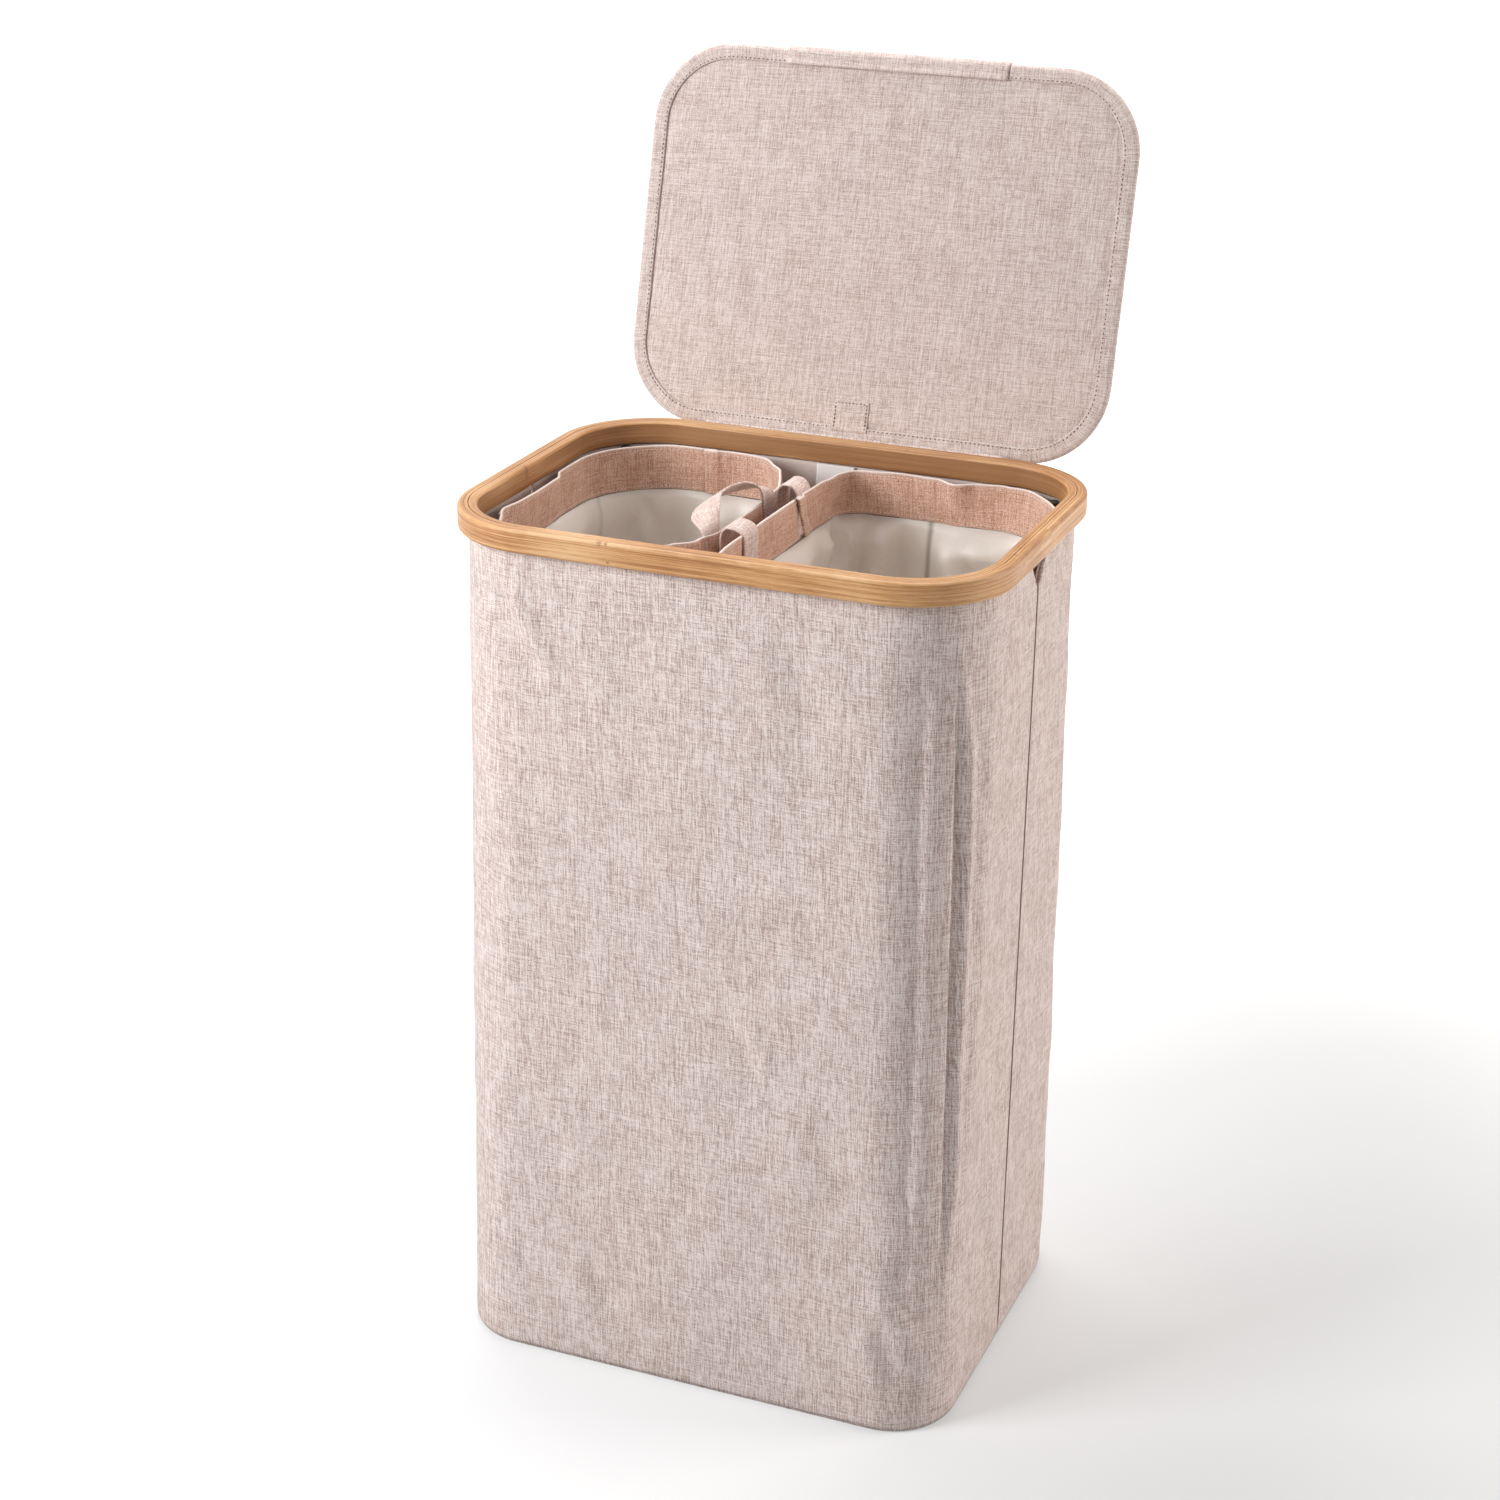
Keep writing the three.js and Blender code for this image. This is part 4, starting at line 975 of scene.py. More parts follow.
def join_ends(mesh, reach=0.02 * MM):
    bm = bmesh.new()
    bm.from_mesh(mesh)
    bmesh.ops.remove_doubles(bm, verts=bm.verts, dist=reach)
    bmesh.ops.recalc_face_normals(bm, faces=bm.faces)
    bm.to_mesh(mesh)
    bm.free()


def stack(*columns):
    """Places, from their x, y and z."""
    return np.column_stack(np.broadcast_arrays(*columns))


def soft(along, across, scale, seed, period=0):
    """Smooth unevenness on a strip, from -1 to 1. With a period, it meets itself round the strip."""
    if period:
        turn = along / period * 2 * math.pi
        reach = period / 2 / math.pi
        return ripple(stack(reach * np.cos(turn), reach * np.sin(turn), across), scale, seed)
    return ripple(stack(along, across, np.full(len(along), 0.0)), scale, seed)


def standing_round(ring, base, wave_height, wave_width, seed):
    """The shape of a strip that stands on its edge all the way round a ring, a little uneven."""
    def shape(along, across):
        places, facing = ring.at(along)
        out = wave_height * soft(along, across, wave_width, seed, ring.length)
        places = places + facing * out[:, None]
        return stack(places[:, 0], places[:, 1], base + across)

    return shape


# %% Stitches
def stitch_row(name, places, normals, body, material=None, slot="linen", pitch=3.4 * MM, length=2.3 * MM,
               width=0.75 * MM, height=0.45 * MM, sunk=0.15 * MM):
    """A row of stitches along a line of places: one short rounded thread after another."""
    places, normals = np.asarray(places, float), np.asarray(normals, float)
    steps = runs_along(places)
    count = int(steps[-1] / pitch)
    middles = (np.arange(count) + 0.5) * steps[-1] / count
    bm = bmesh.new()
    reach = length / 2
    for middle in middles:
        start, place, end = (Vector([np.interp(run, steps, places[:, axis]) for axis in range(3)])
                             for run in (middle - reach, middle, middle + reach))
        up = Vector([np.interp(middle, steps, normals[:, axis]) for axis in range(3)]).normalized()
        ahead = (end - start).normalized()
        side = up.cross(ahead).normalized()
        turn = Matrix((ahead, side, up)).transposed().to_4x4()
        size = Matrix.Diagonal((length, width, height * 2, 1))
        bmesh.ops.create_uvsphere(bm, u_segments=6, v_segments=4, radius=0.5,
                                  matrix=Matrix.Translation(place - up * sunk) @ turn @ size)
    return piece(name, made_mesh(name, bm), body, material or thread, slot)


# %% [markdown]
# ## Inside of the body
#
# Below the rim, a doubled facing stiffens the cloth. The right hand cut goes through it as a V, and the
# left one as a narrow slit. Both are cut out of the flat grid before it is bent, which is easier than
# cutting the bent cloth. Tapes cover the seams, and a panel closes the bottom.


# %% Facing
def cut_v(bm, middle, apex, half_width, depth):
    """Cuts a V out of a flat grid: its point lies at (middle, apex)."""
    def faces_near():
        return [face for face in bm.faces if abs(face.calc_center_median().x - middle) < half_width * 1.6]

    for lean in (-1, 1):
        bmesh.ops.bisect_plane(bm, geom=whole_faces(faces_near()), dist=nearly_nothing,
                               plane_co=(middle, apex, 0),
                               plane_no=Vector((lean * depth, -half_width, 0)).normalized())
    inside = []
    for face in faces_near():
        centre = face.calc_center_median()
        if (centre.y - apex) / depth * half_width > abs(centre.x - middle):
            inside.append(face)
    bmesh.ops.delete(bm, geom=inside, context="FACES")


facing_low, facing_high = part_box("top_facing")
facing_inset = 3.1 * MM
facing_thickness = 1.6 * MM
facing_ring = Ring(hem_outline.inset(facing_inset))
facing_height = facing_high.z - facing_low.z
bm = flat_grid(facing_ring.length, facing_height, 3 * MM)
left_cut_half_width = 1.5 * MM
for middle, half_width in ((0, hand_cut_half_width), (facing_ring.length / 2, left_cut_half_width),
                           (facing_ring.length, hand_cut_half_width)):
    cut_v(bm, middle, rim_bottom - hand_cut_depth - facing_low.z, half_width, hand_cut_depth)
facing_shape = standing_round(facing_ring, facing_low.z, 0.35 * MM, 30 * MM, 4.0)
facing = shaped("facing_cloth", bm, facing_shape, "hamper", inner_cloth, "inner_cloth", "top_facing",
                thickness=facing_thickness, offset=0, closed=True)

# %% Tapes
tape_thickness = 0.8 * MM
tape_inset = 2.8 * MM


def seam_tape(name, node, side):
    """The tape over one side seam: it leans as the wall does, from the foot to the facing."""
    low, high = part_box(node)
    width, height = high.y - low.y, high.z - low.z
    bm = flat_grid(width, height, 3.5 * MM)

    def shape(along, across):
        z = low.z + across
        share = np.clip(z / facing_bottom, 0, 1)
        half_width = foot_outline.right + (hem_outline.right - foot_outline.right) * share
        wave = 0.3 * MM * soft(along, across, 25 * MM, side * 3.0)
        return stack(side * (half_width - tape_inset + wave), low.y + along, z)

    made = shaped(name, bm, shape, "hamper", tape_cloth, "white_tape", node, thickness=tape_thickness,
                  offset=0)


seam_tape("left_seam_tape_cloth", "left_seam_tape", -1)
seam_tape("right_seam_tape_cloth", "right_seam_tape", 1)

bottom_tape_inset = 2.7 * MM
tape_low, tape_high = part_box("bottom_tape")
bottom_ring = Ring(foot_outline.inset(bottom_tape_inset))
bottom_tape_height = tape_high.z - tape_low.z
bottom_tape_shape = standing_round(bottom_ring, tape_low.z, 0.25 * MM, 18 * MM, 6.0)
bottom_tape = shaped("bottom_tape_cloth", flat_grid(bottom_ring.length, bottom_tape_height, 4 * MM, 2 * MM),
                     bottom_tape_shape, "hamper", tape_cloth, "white_tape", "bottom_tape",
                     thickness=tape_thickness, offset=0, closed=True)

# %% Panels, and the bottom
edge_cell = 1.5 * MM
middle_share = 0.97


def panel_mesh(name, outline, height, edge_row, rows, **cuts):
    """A flat sheet inside an outline, in rings of faces. Gives its mesh, its places and their depth."""
    bm = bmesh.new()
    reach = min(outline.right - outline.left, outline.back - outline.front) / 2 * middle_share
    loops = [round_loop(bm, outline.inset(by), height, **cuts) for by in (0, edge_row, reach)]
    loft(bm, loops, rows=(max(int(edge_row / edge_cell), 1), rows))
    bmesh.ops.edgeloop_fill(bm, edges=loops[-1])
    bmesh.ops.recalc_face_normals(bm, faces=bm.faces)
    mesh = made_mesh(name, bm)
    places = places_of(mesh)
    return mesh, places, outline.measure(places)[1]


mesh, places, depth = panel_mesh("bottom_panel_cloth", foot_outline.inset(bottom_inset),
                                 (foot_low.z + foot_high.z) / 2, 8 * MM, 24)
lay_weave(mesh, places[:, 0], places[:, 1])
places[:, 2] += 0.25 * MM * soft(places[:, 0], places[:, 1], 60 * MM, 2.0) * smooth_rise(depth, 0, 30 * MM)
set_places(mesh, places)
bottom = piece(mesh.name, mesh, "hamper", body_linen, "linen", "bottom_panel")
thicken(bottom, foot_high.z - foot_low.z - 0.4 * MM, 0)

# %% [markdown]
# ## Rods and their sleeves
#
# Four rods stand in the corners and hold the rim up. Each stands in a cap at the foot and a socket
# under the rim, and a cloth tube with slack folds hides it. The rods, caps, sockets and boards of the
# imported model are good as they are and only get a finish. Each tube is a flat strip rolled up round its
# rod, which leans a little outwards.

# %% Rod sleeves
sleeve_thickness = 0.7 * MM


def rod_sleeve(corner):
    cap_low, cap_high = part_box(corner + "_rod_cap")
    socket_low, socket_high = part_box(corner + "_rod_socket")
    foot, head = (cap_low + cap_high) / 2, (socket_low + socket_high) / 2
    low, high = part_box(corner + "_rod_sleeve")
    height = high.z - low.z
    lean = (head - foot) / (head.z - foot.z)
    middle = foot + lean * (low.z - foot.z)
    radius = (high.x - low.x - abs(lean.x) * height) / 2 - sleeve_thickness / 2
    around = 2 * math.pi * radius
    seed = foot.x * 40 + foot.y * 9

    def shape(along, across):
        turn = along / around * 2 * math.pi
        reach = radius + 0.25 * MM * soft(along, across * 0.3, 9 * MM, seed, around)
        return stack(middle.x + lean.x * across + reach * np.cos(turn),
                     middle.y + lean.y * across + reach * np.sin(turn), low.z + across)

    sleeve = shaped(corner + "_sleeve_cloth", flat_grid(around, height, 1.6 * MM, 9 * MM), shape, "hamper",
                    inner_cloth, "inner_cloth", corner + "_rod_sleeve", thickness=sleeve_thickness,
                    offset=-1, closed=True)


for corner in ("front_left", "front_right", "back_right", "back_left"):
    rod_sleeve(corner)

# %% Finishes of the rods and boards
finish_by_ending = {"_rod": rod_finish, "_rod_cap": plastic_finish, "_rod_socket": plastic_finish,
                    "_board": board_finish}
for node, made in frame["nodes"].items():
    for ending, finish in finish_by_ending.items():
        if node.endswith(ending):
            made.data.materials.clear()
            made.data.materials.append(finish)
            print(node + ":", finish.name)

# %% [markdown]
# ## Lid
#
# The lid is drawn lying flat, its inner face down, and then turned up about the hinge to where it
# stands in the photo. It could be drawn where it stands, but lying flat its measures are plain ones. A
# stiff board lies between two covers. A binding goes round the edge and is sewn through both, so the
# covers dip beside it and the binding puckers a little.

# %% Measures of the lid
hinge = next(joint for joint in frame["joints"] if joint["name"] == "lid_hinge")
lid_width, lid_depth, lid_corner = 376 * MM, 283 * MM, 61 * MM
lid_thickness = 7.2 * MM
lid_shift = Vector((0, -147.9, 11.3)) * MM
lid_outline = Outline(-lid_width / 2, lid_width / 2, -lid_depth / 2, lid_depth / 2, lid_corner)
lid_ring = Ring(lid_outline)
lid_turn = Matrix.Rotation(-math.radians(hinge["range_deg"][1]), 3, "X")
cover_inset, cover_height, cover_bulge, cover_thickness = 1.2 * MM, 1.65 * MM, 0.55 * MM, 0.8 * MM
binding_reach = 11.5 * MM
binding_thickness = 0.9 * MM
binding_radius = (lid_thickness - binding_thickness) / 2
binding_flat = binding_reach - binding_radius - binding_thickness / 2
binding_width = math.pi * binding_radius + 2 * binding_flat
print("lid:", lid_width, "by", lid_depth, "m, with a binding of", round(binding_width, 4), "m")


# %% Lid covers
def stand_up(places):
    """Turns places on the flat lid up to where the open lid stands."""
    turned = (np.asarray(places) + np.array(lid_shift)) @ np.array(lid_turn).T
    return turned + np.array(hinge["pos_m"])


def lid_face(name, node, height, bulge, seed):
    """One cover of the lid: bulge is how far its middle stands away from the board's edge."""
    mesh, places, depth = panel_mesh(name, lid_outline.inset(cover_inset), height, 20 * MM, 60,
                                     corner_steps=20, face_cuts=61, side_cuts=41)
    lay_weave(mesh, places[:, 0] + lid_width, places[:, 1] + lid_depth)
    rise = smooth_rise(depth, binding_reach - 1.0 * MM, binding_reach + 4 * MM)
    places[:, 2] += bulge * rise + 0.22 * MM * rise * soft(places[:, 0], places[:, 1], 70 * MM, seed)
    set_places(mesh, stand_up(places))
    made = piece(name, mesh, "lid", lid_linen, "linen", node)
    thicken(made, cover_thickness, 0)


lid_face("lid_inner_cloth", "lid_inner_cover", cover_height, -cover_bulge, 3.0)
lid_face("lid_outer_cloth", "lid_outer_cover", lid_thickness - cover_height, cover_bulge, 9.0)


# %% Lid binding
def round_edge(across, length, radius, proud=0.0):
    """Cloth folded round the lid's edge: how deep inside the outline, and how high, each point lies."""
    middle = across - length / 2
    turn = np.clip(middle / radius, -math.pi / 2, math.pi / 2)
    past = np.maximum(np.abs(middle) - radius * math.pi / 2, 0)
    depth = radius * (1 - np.cos(turn)) + past + binding_thickness / 2 - proud
    return depth, lid_thickness / 2 + radius * np.sin(turn), np.sign(middle), past


def wrapped_binding(along, across):
    places, facing = lid_ring.at(along)
    depth, height, face, past = round_edge(across, binding_width, binding_radius)
    pucker = soft(along, across * 0.25, 5 * MM, 2.0, lid_ring.length)
    wave = soft(along, across, 40 * MM, 7.0, lid_ring.length)
    height = height - face * 0.22 * MM * (pucker + wave) * smooth_rise(past, 0, 4 * MM)
    depth = depth + 0.35 * MM * wave * smooth_rise(past, 2 * MM, 7 * MM) + 0.1 * MM * pucker
    places = places - facing * depth[:, None]
    return stand_up(stack(places[:, 0], places[:, 1], height))


bm = flat_grid(lid_ring.length, binding_width, 1.8 * MM, 1.1 * MM)
binding = shaped("lid_binding_cloth", bm, wrapped_binding, "lid", lid_linen, "linen", "lid_binding",
                 thickness=cover_thickness, offset=0, closed=True)

# %% Pull tab
tab_width = 171 * MM
tab_thickness = 1.3 * MM
tab_proud = 1.2 * MM
tab_radius = binding_radius + tab_proud
tab_flat = binding_flat + 0.6 * MM
tab_length = math.pi * tab_radius + 2 * tab_flat


def folded_tab(along, across):
    side = along - tab_width / 2
    places, facing = lid_ring.at(lid_ring.length * 0.75 + side)
    depth, height, face, past = round_edge(across, tab_length, tab_radius, tab_proud)
    ends = smooth_rise(np.abs(side), tab_width / 2 - 3 * MM, tab_width / 2)
    flare = 1.1 * MM * smooth_rise(past, tab_flat - 5 * MM, tab_flat) * (1 - ends)
    height = height + face * (flare + 0.25 * MM * soft(along, across, 14 * MM, 5.0) - 0.1 * MM * ends)
    places = places - facing * depth[:, None]
    return stand_up(stack(places[:, 0], places[:, 1], height))


bm = flat_grid(tab_width, tab_length, 2.0 * MM, 1.2 * MM)
pull_tab = shaped("lid_pull_tab_cloth", bm, folded_tab, "lid", lid_linen, "linen", "lid_pull_tab",
                  thickness=tab_thickness, offset=0)
pull_tab.modifiers.new("soft_edge", "BEVEL").width = 0.35 * MM

# %% Centre tab
centre_tab_x, centre_tab_width, centre_tab_height = -20 * MM, 28 * MM, 23 * MM
centre_tab_from_edge = 7.5 * MM
centre_tab_face = 0.25 * MM
centre_tab_step = 0.65 * MM


def sewn_tab(along, across):
    wave = 0.15 * MM * soft(along, across, 9 * MM, 1.0)
    y = lid_depth / 2 - centre_tab_from_edge - centre_tab_height + across
    over_binding = smooth_rise(y, lid_depth / 2 - binding_reach - 1.5 * MM, lid_depth / 2 - binding_reach)
    return stand_up(stack(centre_tab_x + along, y, centre_tab_face + wave - centre_tab_step * over_binding))


bm = flat_grid(centre_tab_width, centre_tab_height, 1.5 * MM)
centre_tab = shaped("lid_centre_tab_cloth", bm, sewn_tab, "lid", lid_linen, "linen", "lid_centre_tab",
                    thickness=cover_thickness, offset=0)
centre_tab.modifiers.new("soft_edge", "BEVEL").width = 0.25 * MM

# %% [markdown]
# ## Stitches of the lid
#
# A row of dark stitches holds the binding on both faces, and short rows hold the two tabs. They could
# be drawn into the cloth's finish, but a thread stands out of the cloth and catches the light, so each
# stitch is a small rounded piece. The binding's rows leave out the width of the pull tab.

# %% Lid stitches
stitch_depth = 9.9 * MM
stitch_ring = Ring(lid_outline.inset(stitch_depth))
beside_tab = tab_width / 2 + 0.5 * MM
run = np.linspace(stitch_ring.length * 0.75 + beside_tab, stitch_ring.length * 1.75 - beside_tab, 500)
around = stitch_ring.at(run)[0]
tab_face = lid_thickness / 2 - tab_radius - tab_thickness / 2


def lid_normal(count, way):
    return np.repeat([np.array(lid_turn @ Vector((0, 0, way)))], count, axis=0)


for name, height, way in (("inner", 0.05 * MM, -1), ("outer", lid_thickness - 0.05 * MM, 1)):
    places = stand_up(stack(around[:, 0], around[:, 1], height))
    stitch_row("lid_" + name + "_stitches", places, lid_normal(len(run), way), "lid", dark_thread,
                           length=1.9 * MM, width=1.1 * MM)
for name, side in (("left", -1), ("right", 1)):
    x = side * (tab_width / 2 - 3.2 * MM)
    places = stand_up([(x, -lid_depth / 2 + deep, tab_face) for deep in (2.5 * MM, 10.5 * MM)])
    stitch_row("lid_tab_" + name + "_stitches", places, lid_normal(2, -1), "lid", pitch=2.4 * MM,
               length=1.7 * MM)
margin = 1.8 * MM
low_y = lid_depth / 2 - centre_tab_from_edge - centre_tab_height + margin
high_y = lid_depth / 2 - centre_tab_from_edge - margin
left_x, right_x = centre_tab_x + margin, centre_tab_x + centre_tab_width - margin
square = [(left_x, high_y, centre_tab_step), (left_x, low_y, 0), (right_x, low_y, 0),
          (right_x, high_y, centre_tab_step)]
places = stand_up([(x, y, centre_tab_face - 0.5 * MM - step) for x, y, step in square])
stitch_row("lid_centre_tab_stitches", places, lid_normal(4, -1), "lid", dark_thread, pitch=2.8 * MM,
           length=1.8 * MM, width=1.0 * MM)

# %% [markdown]
# ## Hinge strip
#
# The lid turns on a strip of cloth. It is sewn to the back wall below the rim, goes up behind the rim as
# high as its top, turns back there and ends at the open lid's rear edge. Its low part belongs with the
# hamper and its end with the lid, so it rides on neither body and is drawn where it lies with the lid open.

# %% Hinge strip
strip_low, strip_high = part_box("lid_hinge_strip")
strip_width = strip_high.x - strip_low.x
strip_thickness = 0.9 * MM
strip_keys = np.array([(143.1, 608.6), (143.1, 620.8), (150.9, 624.4), (151.1, 637.8), (152.6, 640.1),
                       (155.3, 638.5), (157.5, 635.0), (158.3, 632.9), (165.9, 632.6)]) * MM
strip_keys[0] = (strip_low.y + strip_thickness / 2, strip_low.z)
strip_keys[-1, 0] = strip_high.y - strip_thickness / 2


def eased_path(keys, step, passes):
    """Dense points along a line of keys, with its corners rounded off."""
    keys = np.array(keys, float)
    lengths = runs_along(keys[:, :3])
    run = np.linspace(0, lengths[-1], int(lengths[-1] / step) + 2)
    path = np.column_stack([np.interp(run, lengths, column) for column in keys.T])
    for _ in range(passes):
        path[1:-1] = (path[:-2] + 2 * path[1:-1] + path[2:]) / 4
    return path, runs_along(path[:, :3])


strip_path, strip_runs = eased_path(strip_keys, 0.8 * MM, 5)
strip_length = strip_runs[-1]


def hung_strip(along, across):
    y, z = (np.interp(across, strip_runs, strip_path[:, axis]) for axis in (0, 1))
    free = smooth_rise(across, 12 * MM, 18 * MM)
    return stack(strip_low.x + along, y + 0.3 * MM * free * soft(along, across, 24 * MM, 6.0), z)


bm = flat_grid(strip_width, strip_length, 3 * MM, 1.2 * MM)
hinge_strip = shaped("lid_hinge_strip_cloth", bm, hung_strip, None, body_linen, "linen", "lid_hinge_strip")
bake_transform(hinge_strip)
thicken(hinge_strip, strip_thickness, 0)

# %% [markdown]
# ## Bags
#
# Each bag has a stiff linen collar and a thin lining that hangs from it. The collar is one strip, whose
# ends overlap in a seam. It bulges and dips a little all the way round, more at its top than at its
# sewn lower edge, and keeps clear of the rods' sockets in the corners. The lining falls in soft folds.
# Noise alone would give any bag, so the collar's waves stand in a list, as one would note them down from
# the real bag: share of the way round, how far the top and the base stand out, and the lift, in
# millimetres. The lining hangs from the same line, with folds as creases and noise for the rest.

# %% A bag and its measures
outer_corner = 70.07 * MM
collar_thickness = 2 * MM
collar_lift = 3


# How strong the painted seam shade is: full on a bag whose collar seam is slanted, less where it is hidden.
open_seam_shade_strength, hidden_seam_shade_strength = 1.0, 0.35
lining_follows = 140 * MM


class Bag:
    """One bag: its outline, the way round it, and how far its collar stands out of it."""

    def __init__(self, name, side, inner_radius, waves, seam, slant, lining_seam, creases, seed):
        self.name, self.side, self.seed = name, side, seed
        self.seam, self.slant, self.lining_seam, self.creases = seam, slant * MM, lining_seam, creases
        self.low, self.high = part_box(name + "_collar")
        self.lining_low, self.lining_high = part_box(name + "_lining")
        self.outline = Outline(self.low.x, self.high.x, self.low.y, self.high.y, outer_corner,
                               inner_radius, side)
        self.ring = Ring(self.outline)
        self.height = self.high.z - self.low.z
        self.waves = np.array(waves)
        self.seam_tone = open_seam_shade_strength if slant else hidden_seam_shade_strength

    def out(self, run, top_share):
        """How far the collar stands out of its outline, and how far it is lifted, at a place on it."""
        share = run / self.ring.length % 1
        places = self.waves[:, 0]
        before = np.searchsorted(places, share, side="right") - 1
        after = (before + 1) % len(places)
        reach = (places[after] - places[before]) % 1
        rise = smooth_rise((share - places[before]) % 1 / np.where(reach == 0, 1, reach), 0, 1)
        top, base, lift = ((1 - rise) * self.waves[before, column] + rise * self.waves[after, column]
                           for column in (1, 2, 3))
        return (base + (top - base) * top_share) * MM, (collar_lift + lift * top_share) * MM

    def wall(self, run, height, inset=0.0):
        """A place on the collar or the lining, at a height above the floor."""
        share = np.clip((height - self.low.z) / self.height, 0, 1)
        fade = smooth_rise(height, self.low.z - lining_follows, self.low.z)
        places, facing = self.ring.at(run)
        out, lift = self.out(run, share)
        places = places + facing * (out * fade - inset)[:, None]
        return stack(places[:, 0], places[:, 1], height + lift * fade), facing


# %% Collars
stitch_rise = 2.6 * MM
overlap = 10 * MM
lap_height = collar_thickness + 0.2 * MM


def collar(bag):
    length = bag.ring.length + overlap
    start = bag.seam * bag.ring.length

    def shape(along, across):
        lap = smooth_rise(along, bag.ring.length - 4 * MM, bag.ring.length) * lap_height
        near_ends = np.exp(-np.minimum(along, length - along) / (60 * MM))
        along = along - bag.slant * (1 - across / bag.height) * near_ends
        wave = 0.35 * MM * soft(along, across, 26 * MM, bag.seed)
        places, _ = bag.wall(start + along, bag.low.z + across, collar_thickness / 2 + lap + wave)
        places[:, 2] += 0.7 * MM * soft(along, 0 * across, 55 * MM, bag.seed + 4) * across / bag.height
        return places

    bm = flat_grid(length, bag.height, 2.2 * MM, 1.1 * MM)
    columns, rows = (np.array([point.co[axis] for point in bm.verts]) for axis in (0, 1))
    # Painted highlight on the folded top edge, and fainter on the lower edge.
    edges = np.maximum(smooth_rise(rows, bag.height - 1.7 * MM, bag.height - 0.3 * MM),
                       0.6 * (1 - smooth_rise(rows, 0.3 * MM, 1.2 * MM)))
    # Painted shade: a dark line beside the cut end of the overlap, where the end throws its shadow.
    beside_end = (columns > overlap - 2 * MM) & (columns < overlap + 1.5 * MM)
    made = shaped(bag.name + "_collar_cloth", bm, shape, bag.name, collar_linen, "linen",
                  bag.name + "_collar", thickness=collar_thickness - 0.2 * MM, offset=0,
                  at_points={"fold_edge": edges, "seam_shade": beside_end * bag.seam_tone})
    folded = made.modifiers.new("folded_edge", "BEVEL")
    folded.width, folded.segments = 0.7 * MM, 2
    run = np.linspace(0, bag.ring.length, 420)
    for row, way, height in (("inner", 1, bag.low.z + stitch_rise), ("outer", -1, bag.low.z + stitch_rise),
                             ("top", 1, bag.high.z - 3.2 * MM)):
        inset = collar_thickness / 2 + way * (collar_thickness / 2 - 0.1 * MM)
        places, facing = bag.wall(run, np.full(len(run), height), inset)
        normals = stack(-way * facing[:, 0], -way * facing[:, 1], 0.0)
        stitch_row(f"{bag.name}_collar_{row}_stitches", places, normals, bag.name)
    heights = np.array([bag.low.z + 3 * MM, bag.high.z - 3 * MM])
    places, facing = bag.wall(start + overlap - 2 * MM - bag.slant * np.array([1, 0]), heights,
                              2 * collar_thickness + 0.2 * MM)
    stitch_row(bag.name + "_collar_seam", places, stack(-facing[:, 0], -facing[:, 1], 0.0),
                           bag.name)


# %% Linings
lining_thickness = 1.0 * MM


def lining(bag):
    base, height = bag.lining_low.z, bag.lining_high.z - bag.lining_low.z
    length = bag.ring.length

    def shape(along, across):
        up = across / height
        loose = smooth_rise(across, 0, 60 * MM) * (1 - 0.85 * smooth_rise(up, 0.975, 1.0))
        fold = soft(along + across * 0.3, across * 0.35, 48 * MM, bag.seed + 2, length)
        crumple = soft(along - across * 0.4, across * 0.7, 26 * MM, bag.seed + 7, length)
        inset = lining_thickness + loose * (9 * MM * (fold + 0.4) + 2.4 * MM * crumple)
        inset = inset + loose * sum(crease.pressed(along, base + across) for crease in bag.creases)
        seam = np.abs((along / length + 0.5 - bag.lining_seam) % 1 - 0.5) * length
        inset = inset + 0.9 * MM * (1 - smooth_rise(seam, 0, 2.2 * MM))
        return bag.wall(along, base + across, np.maximum(inset, 0.5 * MM))[0]

    bm = flat_grid(length, height, 3.4 * MM, 6.5 * MM)
    # Painted shade: a dark line along the lining's seam.
    at_seam = np.array([abs(point.co.x - bag.lining_seam * length) < 1.8 * MM for point in bm.verts])
    made = shaped(bag.name + "_lining_cloth", bm, shape, bag.name, lining_cloth, "bag_lining",
                  bag.name + "_lining", thickness=lining_thickness, offset=0,
                  at_points={"seam_shade": at_seam * bag.seam_tone}, closed=True)


# %% Floors of the bags
floor_cloth_thickness = 0.9 * MM


def bag_floor(bag):
    low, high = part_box(bag.name + "_floor")
    mesh, places, _ = panel_mesh(bag.name + "_floor_cloth", bag.outline.inset(0.3 * MM),
                                 (low.z + high.z) / 2, 10 * MM, 20)
    lay_weave(mesh, places[:, 0], places[:, 1])
    places[:, 2] += 0.2 * MM * soft(places[:, 0], places[:, 1], 40 * MM, bag.seed)
    set_places(mesh, places)
    made = piece(mesh.name, mesh, bag.name, lining_cloth, "bag_lining", bag.name + "_floor")
    thicken(made, floor_cloth_thickness, 0)


# %% Waves and folds, and both bags
left_waves = [
    (0.00, 0, 0, -4.5), (0.06, 0.5, 0, -4.5), (0.09, -1, 0, -3.5), (0.135, -9, -5, 0), (0.165, -11, -6, 0),
    (0.20, -5, -2, 0.5), (0.23, -2.5, -0.5, 0.5), (0.267, -3, -0.5, 0.5), (0.30, -1, 0, 0.5),
    (0.335, -1.5, -0.5, 0.3), (0.375, -0.5, 0, 0), (0.41, 0.5, 0, 0), (0.455, 0.5, 0.5, 0),
    (0.477, -5, -1, 0), (0.52, -6, -1.5, 0), (0.56, -5.5, -1, 0), (0.585, -2.5, -0.5, 0),
    (0.615, -6.5, -3, 0), (0.67, -4, -1, 0), (0.72, -3, -0.5, 0), (0.77, -4, -1, 0.5), (0.80, -15, -7, 1.5),
    (0.835, -24, -12, 1.5), (0.87, -13, -7, 1), (0.905, -4, -2, -1.5), (0.95, -1, 0, -4),
]
